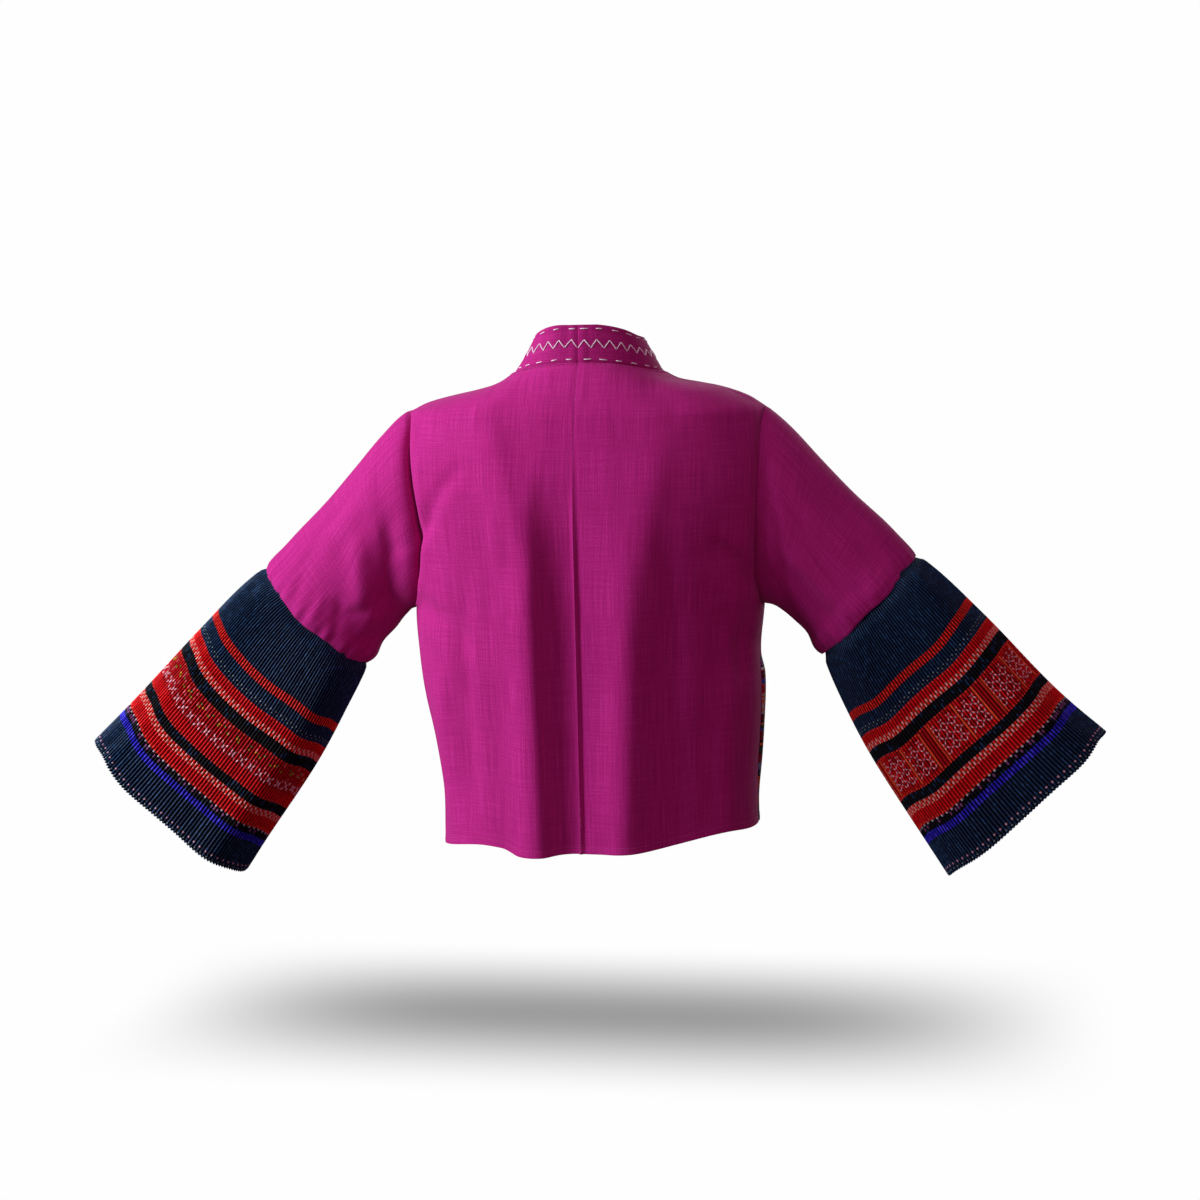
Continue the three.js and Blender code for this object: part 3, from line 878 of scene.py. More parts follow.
@dataclass(frozen=True)
class BandedCloth:
    """Cloth covered in woven tapes and hand stitches, pleated or flat.

    Its U counts pleats (or small cells, on flat cloth) and its V runs from 0 at the top of the
    cloth to 1 at its lower edge. The hand work shows as small cells of thread, and each pleat
    as a lighter ridge beside a dark gap, which is shade painted into the colour.
    """

    name: str
    stripes: tuple[Stripe, ...]
    rows: float                      # small cells over the whole height
    row_shift: float = 0.435         # lines the rows of cells up with the checked tapes
    gap: float = 0.9                 # how much painted shade darkens the cloth between two pleats
    roughness: float = 0.7
    sheen: float = 0.03
    motif: Motif = Motif.NONE
    thread: str = "#FFB8C4"
    cross_row: tuple[float, float] = (0.540, 0.588)
    square_rows: tuple[float, float] = (0.490, 0.622)
    wide_band: tuple[float, float] = (0.472, 0.638)

    def stripe_colour(self, tree: Tree, uv: Any, height: Any) -> Any:
        """Paints the stripes, with a random number and a check for each of their small cells.

        Args:
            tree: where the nodes go.
            uv: the cloth's own U and V.
            height: its V.

        Returns:
            The colour.
        """
        ground, fleck, rule = (add_node(tree, "ValToRGB", {"Fac": height}) for _ in range(3))
        fill_ramp(ground, [(s.start, linear(s.ground)) for s in self.stripes], True)
        fill_ramp(fleck, [(s.start, linear(s.fleck)) for s in self.stripes], True)
        fill_ramp(rule, [(s.start, (s.share, float(s.checked), 0, 1)) for s in self.stripes], True)
        rules = add_node(tree, "SeparateColor", {0: rule}).outputs
        cell = {"Scale": (1, self.rows, 1), "Location": (0.5, self.row_shift, 0), "Vector": uv}
        place = add_node(tree, "Mapping", cell)
        whole = add_node(tree, "VectorMath", {"operation": "FLOOR", 0: place})
        random = {"noise_dimensions": "2D", "Vector": whole}
        chance = add_node(tree, "TexWhiteNoise", random).outputs["Value"]
        check = add_node(tree, "TexChecker", {"Scale": 1.0, "Vector": place}).outputs["Fac"]
        value = add_node(tree, "Mix", {"data_type": "FLOAT", 0: rules[1], 2: chance, 3: check})
        is_fleck = add_node(tree, "Math", {"operation": "LESS_THAN", 0: value, 1: rules[0]})
        return add_node(tree, "Mix", {"data_type": "RGBA", 0: is_fleck, 6: ground, 7: fleck}).outputs[2]

    def within(self, tree: Tree, value: Any, span: tuple[float, float]) -> Node:
        """Returns 1 where the value lies in the span, and 0 elsewhere.

        Args:
            tree: where the nodes go.
            value: what is tested.
            span: its lowest and highest value.

        Returns:
            The node that gives it.
        """
        above = add_node(tree, "Math", {"operation": "GREATER_THAN", 0: value, 1: span[0]})
        below = add_node(tree, "Math", {"operation": "LESS_THAN", 0: value, 1: span[1]})
        return add_node(tree, "Math", {"operation": "MULTIPLY", 0: above, 1: below})

    def from_middle(self, tree: Tree, value: Any, period: float, shift: float = 0.0) -> Node:
        """Finds how far a value is from the middle of its period.

        Args:
            tree: where the nodes go.
            value: what is measured.
            period: how often it repeats.
            shift: where the first period starts.

        Returns:
            The distance, from 0 to one half.
        """
        turns = add_node(tree, "Math", {"operation": "MULTIPLY_ADD", 0: value, 1: 1 / period, 2: shift})
        part = add_node(tree, "Math", {"operation": "FRACT", 0: turns})
        centred = add_node(tree, "Math", {"operation": "SUBTRACT", 0: part, 1: 0.5})
        return add_node(tree, "Math", {"operation": "ABSOLUTE", 0: centred})

    def paint(self, tree: Tree, base: Any, masks: tuple[Any, Any], colour: str) -> Any:
        """Lays one colour over another where both masks are 1."""
        both = add_node(tree, "Math", {"operation": "MULTIPLY", 0: masks[0], 1: masks[1]})
        layer = {"data_type": "RGBA", 0: both, 6: base, 7: linear(colour)}
        return add_node(tree, "Mix", layer).outputs[2]

    def crosses(self, tree: Tree, base: Any, pleat: Any, height: Any) -> Any:
        """Adds a row of crosses and a loose row of green and yellow dots.

        Args:
            tree: where the nodes go.
            base: the colour below them.
            pleat: the number of the pleat.
            height: the place along the cloth.

        Returns:
            The new colour.
        """
        low, high = self.cross_row
        x = self.from_middle(tree, pleat, 3.4)
        y = self.from_middle(tree, height, high - low, -low / (high - low))
        gap = add_node(tree, "Math", {"operation": "SUBTRACT", 0: x, 1: y})
        size = add_node(tree, "Math", {"operation": "ABSOLUTE", 0: gap})
        arm = add_node(tree, "Math", {"operation": "LESS_THAN", 0: size, 1: 0.11})
        inside = add_node(tree, "Math", {"operation": "LESS_THAN", 0: x, 1: 0.37})
        limited = add_node(tree, "Math", {"operation": "MULTIPLY", 0: arm, 1: inside})
        zone = self.within(tree, height, (low + 0.002, high - 0.002))
        colour = self.paint(tree, base, (limited, zone), self.thread)
        for span, period, shift, dot in (
            ((0.507, 0.514), 4.0, 0.1, "#9CB02A"),
            ((0.499, 0.505), 7.0, 0.6, "#E8C830"),
            ((0.490, 0.496), 5.0, 0.35, "#4E9A50"),
        ):
            place = self.from_middle(tree, pleat, period, shift)
            near = add_node(tree, "Math", {"operation": "LESS_THAN", 0: place, 1: 0.5 / period})
            colour = self.paint(tree, colour, (near, self.within(tree, height, span)), dot)
        return colour

    def squares(self, tree: Tree, base: Any, pleat: Any, height: Any) -> Any:
        """Adds pairs of stitched squares, with orange lines about them and red between pairs.

        Args:
            tree: where the nodes go.
            base: the colour below them.
            pleat: the number of the pleat.
            height: the place along the cloth.

        Returns:
            The new colour.
        """
        pair_pleats = 21.0
        x = self.from_middle(tree, pleat, 3.0)
        y = self.from_middle(tree, height, 0.042, 0.1)
        both = add_node(tree, "Math", {"operation": "ADD", 0: x, 1: y})
        ring = add_node(tree, "Math", {"operation": "SUBTRACT", 0: both, 1: 0.42})
        size = add_node(tree, "Math", {"operation": "ABSOLUTE", 0: ring})
        line = add_node(tree, "Math", {"operation": "LESS_THAN", 0: size, 1: 0.085})
        colour = self.paint(tree, base, (line, self.within(tree, height, self.square_rows)), self.thread)
        turns = add_node(tree, "Math", {"operation": "DIVIDE", 0: pleat, 1: pair_pleats})
        part = add_node(tree, "Math", {"operation": "FRACT", 0: turns})
        wide = self.within(tree, height, self.wide_band)
        for span, tint in (
            ((0.0, 0.13), "#C00A16"),
            ((0.13, 0.175), "#FF5A34"),
            ((0.50, 0.545), "#FF5A34"),
            ((0.955, 1.0), "#FF5A34"),
        ):
            colour = self.paint(tree, colour, (self.within(tree, part, span), wide), tint)
        return colour

    def make(self) -> Finish:
        """Returns the finish as a material.

        Returns:
            The material.
        """
        material, tree = new_material(self.name)
        uv = add_node(tree, "UVMap", {"uv_map": UV_NAME})
        pleat, height, _ = add_node(tree, "SeparateXYZ", {0: uv}).outputs
        colour = self.stripe_colour(tree, uv, height)
        if self.motif is Motif.CROSSES:
            colour = self.crosses(tree, colour, pleat, height)
        if self.motif is Motif.SQUARES:
            colour = self.squares(tree, colour, pleat, height)
        threads = add_node(tree, "Mapping", {"Scale": (3.0, self.rows * 0.7, 1), "Vector": uv})
        fibre = {"noise_dimensions": "2D", "Scale": 1.0, "Detail": 2.0, "Vector": threads}
        noise = add_node(tree, "TexNoise", fibre)
        rubbed = {"From Min": 0.25, "From Max": 0.75, "To Min": 0.72, "To Max": 1.22, "Value": noise}
        wear = add_node(tree, "MapRange", rubbed)
        # Painted shade: the colour is scaled down towards the gap between two pleats, or cells on flat
        # cloth, and kept full on each ridge; the random wear tone is multiplied in as well.
        ridge = self.from_middle(tree, pleat, 1.0)
        fall = {"From Min": 0.10, "From Max": 0.46, "To Min": 1 - self.gap, "Value": ridge}
        lit = add_node(tree, "MapRange", {"interpolation_type": "SMOOTHSTEP", **fall})
        shade = add_node(tree, "Math", {"operation": "MULTIPLY", 0: wear, 1: lit})
        toned = add_node(tree, "VectorMath", {"operation": "SCALE", 0: colour, "Scale": shade})
        bump = {"Strength": 0.5, "Distance": 0.4 * MM, "Height": noise}
        gloss = {
            "Roughness": self.roughness,
            "Sheen Weight": self.sheen,
            "Sheen Roughness": 0.4,
            "Specular IOR Level": 0.14,
        }
        add_cloth_shader(tree, toned, bump, gloss)
        return material


@dataclass(frozen=True)
class CottonThread:
    """Twisted cotton sewing thread: its fine twist gives the eye a soft, uneven light line."""

    name: str
    dark: str
    light: str
    twist_mm: float = 1.2

    def make(self) -> Finish:
        """Returns the finish as a material.

        Returns:
            The material.
        """
        material, tree = new_material(self.name)
        place = add_node(tree, "TexCoord").outputs["Object"]
        scale = 1 / (self.twist_mm * MM)
        twist = add_node(tree, "TexNoise", {"Scale": scale, "Detail": 1.0, "Vector": place})
        ramp = add_node(tree, "ValToRGB", {"Fac": twist})
        fill_ramp(ramp, [(0.3, linear(self.dark)), (0.6, linear(self.light))])
        bump = {"Strength": 0.5, "Distance": 0.1 * MM, "Height": twist}
        gloss = {"Roughness": 0.6, "Sheen Weight": 0.2, "Specular IOR Level": 0.3}
        add_cloth_shader(tree, ramp, bump, gloss)
        return material


@dataclass(frozen=True)
class Finishes:
    """All the finishes of the jacket, each made once."""

    linen: Finish
    band: Finish
    pleats: dict[tuple[Tier, Side], Finish]
    textile: Finish
    white_thread: Finish
    linen_thread: Finish

    @staticmethod
    def make() -> "Finishes":
        """Returns the finishes with their materials.

        Returns:
            The finishes.
        """
        # Cells of about 4 mm over a cuff of 270 mm give two rows in a checked tape.
        cell_rows = 69.0
        pleats: dict[tuple[Tier, Side], Finish] = {}
        for side, wide, motif in (
            (Side.LEFT, LEFT_WIDE_STRIPES, Motif.CROSSES),
            (Side.RIGHT, RIGHT_WIDE_STRIPES, Motif.SQUARES),
        ):
            band = BandedCloth(
                f"pleated_cloth_embroidered_{side.value}",
                BAND_A_STRIPES + wide + BAND_B_STRIPES,
                cell_rows,
                gap=0.62,
                motif=motif,
            )
            pleats[Tier.BAND, side] = band.make()
        top = BandedCloth("indigo_hemp_pleated_taped", TOP_STRIPES, cell_rows, roughness=0.55).make()
        hem = BandedCloth("indigo_hemp_pleated_striped", HEM_STRIPES, cell_rows, roughness=0.55).make()
        for side in Side:
            pleats[Tier.TOP, side] = top
            pleats[Tier.HEM, side] = hem
        return Finishes(
            linen=SlubbyLinen("linen_plain_weave_dyed", "#960F68", "#B21A7C", "#D0349A").make(),
            band=SlubbyLinen("linen_plain_weave_pressed", "#900E62", "#AC1876", "#CA3092").make(),
            pleats=pleats,
            textile=BandedCloth("cotton_banded_appliqued", TEXTILE_STRIPES, 90.0, gap=0.25).make(),
            white_thread=CottonThread("cotton_thread_white", "#D8C8D8", "#FBF4FA").make(),
            linen_thread=CottonThread("cotton_thread_magenta", "#8E146A", "#D02E98").make(),
        )


# ---- pieces ----


def finish_sheet(
    piece: Piece, material: Finish, cut: Cut
) -> None:
    """Args:
        piece: the sheet, named after the solid that it stands for.
        material: its finish.
        cut: the size that it is cut to.
    """
    node = piece.name.removesuffix("_cloth")
    piece.data.materials.append(material)
    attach(piece, "root")
    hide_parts(node)
    triangles = sum(len(face.vertices) - 2 for face in piece.data.polygons)
    surface = sum(face.area for face in piece.data.polygons) / 2
    text = "%s: %d triangles, cloth area %.4f m2 on a cut of %.4f"
    LOG.info(text, piece.name, triangles, surface, cut.area)


def finish_stitches(piece: Piece, material: Finish) -> None:
    """Dresses joined stitches and lets them ride with the jacket.

    Args:
        piece: the piece.
        material: its finish.
    """
    piece.data.materials.append(material)
    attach(piece, "root")
    LOG.info("%s: %d faces", piece.name, len(piece.data.polygons))


class Rings(NamedTuple):
    """Rings of the body as columns of numbers.

    number counts the rings of the plain solid. A ring's height at an angle is base, plus dome
    by the square of the sine, plus drop by how far the hem lies below the underarm.
    """

    number: Array
    width: Array
    depth: Array
    start: Array
    base: Array
    dome: Array
    drop: Array


@dataclass
class Body:
    """The linen body: two backs, two fronts with their banded lower parts."""

    ring_power: float = 2.3
    neck_half_width: float = 77.0
    shoulder_tip_z: float = -50.0
    underarm_z: float = -252.0
    hem_z: float = -497.0
    armhole_half_depth: float = 56.0
    textile_top_z: float = -305.0
    front_edge_x: float = 44.0
    v_bottom_z: float = -230.0
    linen_wall: float = 1.5
    textile_wall: float = 1.8
    textile_cell: float = 2.2
    seam_dip: float = 0.7
    hem_fold: float = 0.5
    hem_ruffle: float = 0.45
    shoulder_rows: int = 26
    armhole_rows: int = 80
    lower_rows: int = 72
    textile_rows: int = 56
    back_columns: int = 74
    front_columns: int = 54
    shoulder_lift: dict[Side, float] = by_side(-2.5, 2.5)
    armhole_trough: dict[Side, float] = by_side(7.0, 2.6)
    trough_width: dict[Side, float] = by_side(11.0, 6.5)
    textile_bulge: dict[Side, float] = by_side(0.5, 3.0)
    back_cut: dict[Side, Cut] = by_side(Cut(0.24, 0.52, 0.1195), Cut(0.235, 0.52, 0.113))
    front_cut: dict[Side, Cut] = by_side(Cut(0.2, 0.32, 0.0465), Cut(0.2, 0.32, 0.0445))
    textile_cut: dict[Side, Cut] = by_side(Cut(0.185, 0.2, 0.0366), Cut(0.17, 0.2, 0.0334))
    grids: dict[tuple[Side, Face], Array] = field(default_factory=dict)
    edges: dict[Side, Array] = field(default_factory=dict)

    def angle_at_x(self, x: Any, width: Any) -> Any:
        """Returns the angle of a ring at which its half width has shrunk to x."""
        return np.arccos(np.minimum(x / width, 1) ** (self.ring_power / 2))

    def angle_at_y(self, y: Any, depth: Any) -> Any:
        """Returns the angle of a ring at which its depth has grown to y."""
        return np.arcsin((y / depth) ** (self.ring_power / 2))

    def rings(self, side: Side, face: Face) -> Rings:
        """Returns the fine rings of one quarter of the body, from the neck to the hem.

        Args:
            side: which side.
            face: which face of the body.

        Returns:
            The rings, one row each.
        """
        depth_name = "back" if face is Face.BACK else "fore"
        power = self.ring_power
        least = 0.03 if face is Face.FRONT else 0.0
        reach = np.linspace(least, 1, self.shoulder_rows, endpoint=False)
        places = [row.reach for row in SHOULDER_RINGS]
        depth = read(SHOULDER_RINGS, "reach", reach, depth_name)
        line = read(SHOULDER_RINGS, "reach", reach, "line_z")
        line = line + self.shoulder_lift[side] * np.sin(math.pi * reach)
        centre = read(SHOULDER_RINGS, "reach", reach, f"{depth_name}_z")
        tip_width = read(LEVELS, "z", self.shoulder_tip_z, side.value)
        nothing = np.zeros_like(reach)
        shoulder = Rings(
            np.interp(reach, places, range(len(places))),
            mix(self.neck_half_width, tip_width, reach),
            depth,
            self.angle_at_y(SEAM_GAP / 2, depth),
            line,
            centre - line,
            nothing,
        )
        turn = np.linspace(0, math.pi, self.armhole_rows + 1)
        middle = (self.shoulder_tip_z + self.underarm_z) / 2
        z = middle + (self.shoulder_tip_z - middle) * np.cos(turn)
        depth = read(LEVELS, "z", z, depth_name)
        seam_x = read(LEVELS, "z", z, side.value)
        seam_y = np.maximum(self.armhole_half_depth * np.sin(turn), SEAM_GAP / 2)
        width = seam_x / (1 - (seam_y / depth) ** power) ** (1 / power)
        nothing = np.zeros_like(turn)
        last = len(places) - 1
        number = last + 10 * turn / math.pi
        armhole = Rings(number, width, depth, self.angle_at_y(seam_y, depth), z, nothing, nothing)
        share = np.linspace(0, 1, self.lower_rows + 1)[1:]
        z = mix(self.underarm_z, self.hem_z, share)
        depth = read(LEVELS, "z", z, depth_name)
        width = read(LEVELS, "z", z, side.value)
        base = np.full_like(share, self.underarm_z)
        nothing = np.zeros_like(share)
        start = self.angle_at_y(SEAM_GAP / 2, depth)
        lower = Rings(last + 10 + 5 * share, width, depth, start, base, nothing, share)
        return Rings(*(np.concatenate(parts)[:, None] for parts in zip(shoulder, armhole, lower)))

    def height(self, side: Side, face: Face, rings: Rings, angle: Array) -> Array:
        """Returns the height of each ring at an angle.

        Args:
            side: which side.
            face: which face of the body.
            rings: the rings of that quarter.
            angle: angles round each ring, from the side to the middle.

        Returns:
            Heights in millimetres.
        """
        x = side.sign * rings.width * np.abs(np.cos(angle)) ** (2 / self.ring_power)
        hem = read(HEMS[face], "x", x, "z")
        return rings.base + rings.dome * np.sin(angle) ** 2 + rings.drop * (hem - self.underarm_z)

    def points(self, side: Side, face: Face, rings: Rings, angle: Array) -> Array:
        """Returns the points of the plain solid's form, with its large folds.

        Args:
            side: which side.
            face: which face of the body.
            rings: the rings of that quarter.
            angle: angles round each ring, from the side to the middle.

        Returns:
            A grid of points.
        """
        power = 2 / self.ring_power
        x = side.sign * rings.width * np.abs(np.cos(angle)) ** power
        y = rings.depth * np.sin(angle) ** power
        z = self.height(side, face, rings, angle)
        rise = np.zeros_like(x)
        for fold in FOLDS[face]:
            down = np.clip((fold.top - z) / (fold.top - self.hem_z), 0, 1)
            across = (x - fold.x - fold.drift * down) / fold.half_width
            rise += fold.rise * np.exp(-(across**2)) * smoothstep(down, 0, 0.35)
        rise *= np.sin(angle) ** 2
        out_x, out_y = x / rings.width**2, y / rings.depth**2
        size = np.maximum(np.hypot(out_x, out_y), 1e-9)
        y = y + rise * out_y / size
        return np.stack([x + rise * out_x / size, -y if face is Face.BACK else y, z], axis=2)

    def band_seam_x(self, z: Array) -> Array:
        """Returns the distance of the neck band's seam from the middle of a front.

        Args:
            z: heights.

        Returns:
            Distances in millimetres.
        """
        top = SHOULDER_RINGS[0].line_z
        share = np.clip((z - self.v_bottom_z) / (top - self.v_bottom_z), 0, 1)
        return mix(self.front_edge_x, self.neck_half_width - 0.5, share)

    def end_angle(self, side: Side, face: Face, rings: Rings) -> Array:
        """Returns where each ring of a panel ends: the centre back, or the neck band's seam.

        Args:
            side: which side.
            face: which face of the body.
            rings: the rings of that quarter.

        Returns:
            One angle a ring.
        """
        if face is Face.BACK:
            return self.angle_at_x(SEAM_GAP / 2, rings.width)
        angle = np.full_like(rings.width, 0.5)
        for _ in range(4):
            seam = self.band_seam_x(self.height(side, face, rings, angle))
            angle = self.angle_at_x(seam, rings.width)
        return angle

    def spread(self, side: Side, face: Face, rings: Rings, columns: int) -> Array:
        """Returns the angles that space a panel's columns evenly along each ring.

        Args:
            side: which side.
            face: which face of the body.
            rings: the rings of that quarter.
            columns: how many columns.

        Returns:
            One row of angles a ring.
        """
        end = self.end_angle(side, face, rings)
        shares = np.linspace(0, 1, 260)
        angles = rings.start + (end - rings.start) * shares
        power = 2 / self.ring_power
        x = rings.width * np.abs(np.cos(angles)) ** power
        y = rings.depth * np.sin(angles) ** power
        lengths = running(np.hypot(np.diff(x, axis=1), np.diff(y, axis=1)), 1)
        even = np.linspace(0, 1, columns + 1)
        return np.array([np.interp(even * row[-1], row, angle) for row, angle in zip(lengths, angles)])

    def detail(self, side: Side, face: Face, rings: Rings, grid: Array) -> Array:
        """Returns how far each point of a panel stands out: creases, seams and the hem's fold.

        Args:
            side: which side.
            face: which face of the body.
            rings: the rings of that quarter.
            grid: rows of points in millimetres.

        Returns:
            Millimetres outwards at each point.
        """
        x, z = grid[:, :, 0], grid[:, :, 2]
        from_side = running(steps(grid, 1), 1)
        from_end = from_side[:, -1:] - from_side
        free_of_band = smoothstep(from_end, 0, 12 if face is Face.FRONT else 0.01)
        rise = crease_rise(CREASES[face], x, z) * free_of_band
        turn = (rings.number - (len(SHOULDER_RINGS) - 1)) / 10
        on_armhole = smoothstep(turn, 0.02, 0.22) * (1 - smoothstep(turn, 0.93, 1.03))
        rise = rise - self.armhole_trough[side] * on_armhole * bell(from_side, self.trough_width[side])
        rise = rise + 0.25 * self.armhole_trough[side] * on_armhole * bell(from_side - 22, 9)
        side_seam = smoothstep(turn, 1.0, 1.08)
        rise = rise - self.seam_dip * side_seam * bell(from_side, 2.2)
        if face is Face.BACK:
            rise = rise - 0.2 * bell(from_end, 1.8) + 0.2 * bell(from_end - 7, 5)
            wander = 3 * np.sin(z / 31) + 2 * np.sin(z / 13 + side.sign)
            rise = rise + 0.35 * bell(from_end - 34 - wander, 9)
        hem = read(HEMS[face], "x", x, "z")
        above_hem = z - hem
        folded = self.hem_fold * (1 - smoothstep(above_hem, 6, 9))
        rise = rise + folded - 0.45 * bell(above_hem - 6.5, 1.2)
        ruffle = np.sin(x / 9.5 + 1.3) + 0.7 * np.sin(x / 5.1 + 0.4)
        return rise + self.hem_ruffle * ruffle * (1 - smoothstep(above_hem, 0, 30))

    def ease_shoulder(self, grid: Array) -> None:
        """Smooths the rows about the shoulder tip, but for the armhole seam.

        Args:
            grid: rows of points in millimetres.
        """
        first, last = self.shoulder_rows - 9, self.shoulder_rows + 14
        for _ in range(40):
            around = grid[first - 1 : last - 1] + 2 * grid[first:last] + grid[first + 1 : last + 1]
            grid[first:last, 4:] = around[:, 4:] / 4

    def settle(self, grid: Array, rise: Array, wall: float, centre_seam: bool) -> tuple:
        """Moves a panel's grid by its detail and gives it a wall.

        Args:
            grid: the plain form's points.
            rise: how far each stands out.
            wall: the cloth's thickness.
            centre_seam: whether the last column is the centre-back seam.

        Returns:
            The outer points, the inner points and the outward directions.
        """
        outer = grid + grid_normals(grid, BODY_MIDDLE) * rise[:, :, None]
        normals = grid_normals(outer, BODY_MIDDLE)
        at_side = np.abs(grid[:, 0, 1]) < 1
        normals[at_side, 0, 1] = 0
        outer[at_side, 0, 1] = grid[at_side, 0, 1]
        if centre_seam:
            normals[:, -1, 0] = 0
            outer[:, -1, 0] = grid[:, -1, 0]
        normals /= np.linalg.norm(normals, axis=2, keepdims=True)
        return outer, outer - normals * wall, normals

    def build_back(self, side: Side, finishes: Finishes) -> Chart:
        """Builds one back and returns it as a chart for its stitches.

        Args:
            side: which side.
            finishes: the finishes.

        Returns:
            The back's chart.
        """
        rings = self.rings(side, Face.BACK)
        angles = self.spread(side, Face.BACK, rings, self.back_columns)
        grid = self.points(side, Face.BACK, rings, angles)
        self.ease_shoulder(grid)
        rise = self.detail(side, Face.BACK, rings, grid)
        outer, inner, normals = self.settle(grid, rise, self.linen_wall, True)
        self.grids[side, Face.BACK] = outer
        uv = cloth_uv(outer, -1) * np.array([side.sign, 1])
        piece = cloth_wall(f"back_{side.value}_cloth", outer, inner, uv)
        finish_sheet(piece, finishes.linen, self.back_cut[side])
        return Chart(outer, normals)

    def build_front(self, side: Side, finishes: Finishes) -> Chart:
        """Builds one linen front and the banded textile below it, and returns the textile's chart.

        Args:
            side: which side.
            finishes: the finishes.

        Returns:
            The textile's chart.
        """
        rings = self.rings(side, Face.FRONT)
        angles = self.spread(side, Face.FRONT, rings, self.front_columns)
        grid = self.points(side, Face.FRONT, rings, angles)
        self.ease_shoulder(grid)
        rise = self.detail(side, Face.FRONT, rings, grid)
        outer, _, normals = self.settle(grid, rise, self.linen_wall, False)
        self.grids[side, Face.FRONT] = outer
        cut = self.shoulder_rows + self.armhole_rows
        hem_z = outer[-1, :, 2]
        linen_z = np.linspace(self.underarm_z, self.textile_top_z, 18)[1:, None] + 0 * hem_z
        down = np.linspace(0, 1, self.textile_rows)[:, None]
        textile_z = mix(self.textile_top_z - SEAM_GAP, hem_z, down)
        linen = np.concatenate([outer[: cut + 1], self.at_heights(outer[cut:], linen_z)])
        textile = self.at_heights(outer[cut:], textile_z)
        from_side = np.linalg.norm(textile - textile[:, :1], axis=2)
        bulge = self.textile_bulge[side] * bell(from_side - 8, 22) * smoothstep(down, 0, 0.12)
        bulge = bulge * (1 - smoothstep(down, 0.6, 0.9))
        textile = textile + grid_normals(textile, BODY_MIDDLE) * bulge[:, :, None]
        panels = (("front", linen, self.linen_wall), ("front_textile", textile, self.textile_wall))
        for name, cloth, wall in panels:
            directions = grid_normals(cloth, BODY_MIDDLE)
            at_side = np.abs(cloth[:, 0, 1]) < 1
            directions[at_side, 0, 1] = 0
            directions /= np.linalg.norm(directions, axis=2, keepdims=True)
            inner = cloth - directions * wall
            piece_name = f"{name}_{side.value}_cloth"
            if name == "front":
                piece = cloth_wall(piece_name, cloth, inner, cloth_uv(cloth, -1))
                finish_sheet(piece, finishes.linen, self.front_cut[side])
            else:
                uv = cloth_uv(cloth, 0)
                uv[:, :, 0] /= self.textile_cell * MM
                uv[:, :, 1] = down
                piece = cloth_wall(piece_name, cloth, inner, uv)
                finish_sheet(piece, finishes.textile, self.textile_cut[side])
                chart = Chart(cloth, directions)
        edge_back = self.grids[side, Face.BACK][self.shoulder_rows : cut + 1, 0]
        edge_front = outer[self.shoulder_rows : cut + 1, 0]
        self.edges[side] = np.concatenate([edge_back, edge_front[-2:0:-1]])
        return chart

    def at_heights(self, grid: Array, heights: Array) -> Array:
        """Returns new rows of a grid at the given heights of each column.

        Args:
            grid: rows of points in millimetres.
            heights: the new heights.

        Returns:
            The new grid.
        """
        result = np.empty((len(heights), grid.shape[1], 3))
        for column in range(grid.shape[1]):
            line = grid[::-1, column]
            for axis in range(2):
                result[:, column, axis] = np.interp(heights[:, column], line[:, 2], line[:, axis])
        result[:, :, 2] = heights
        return result


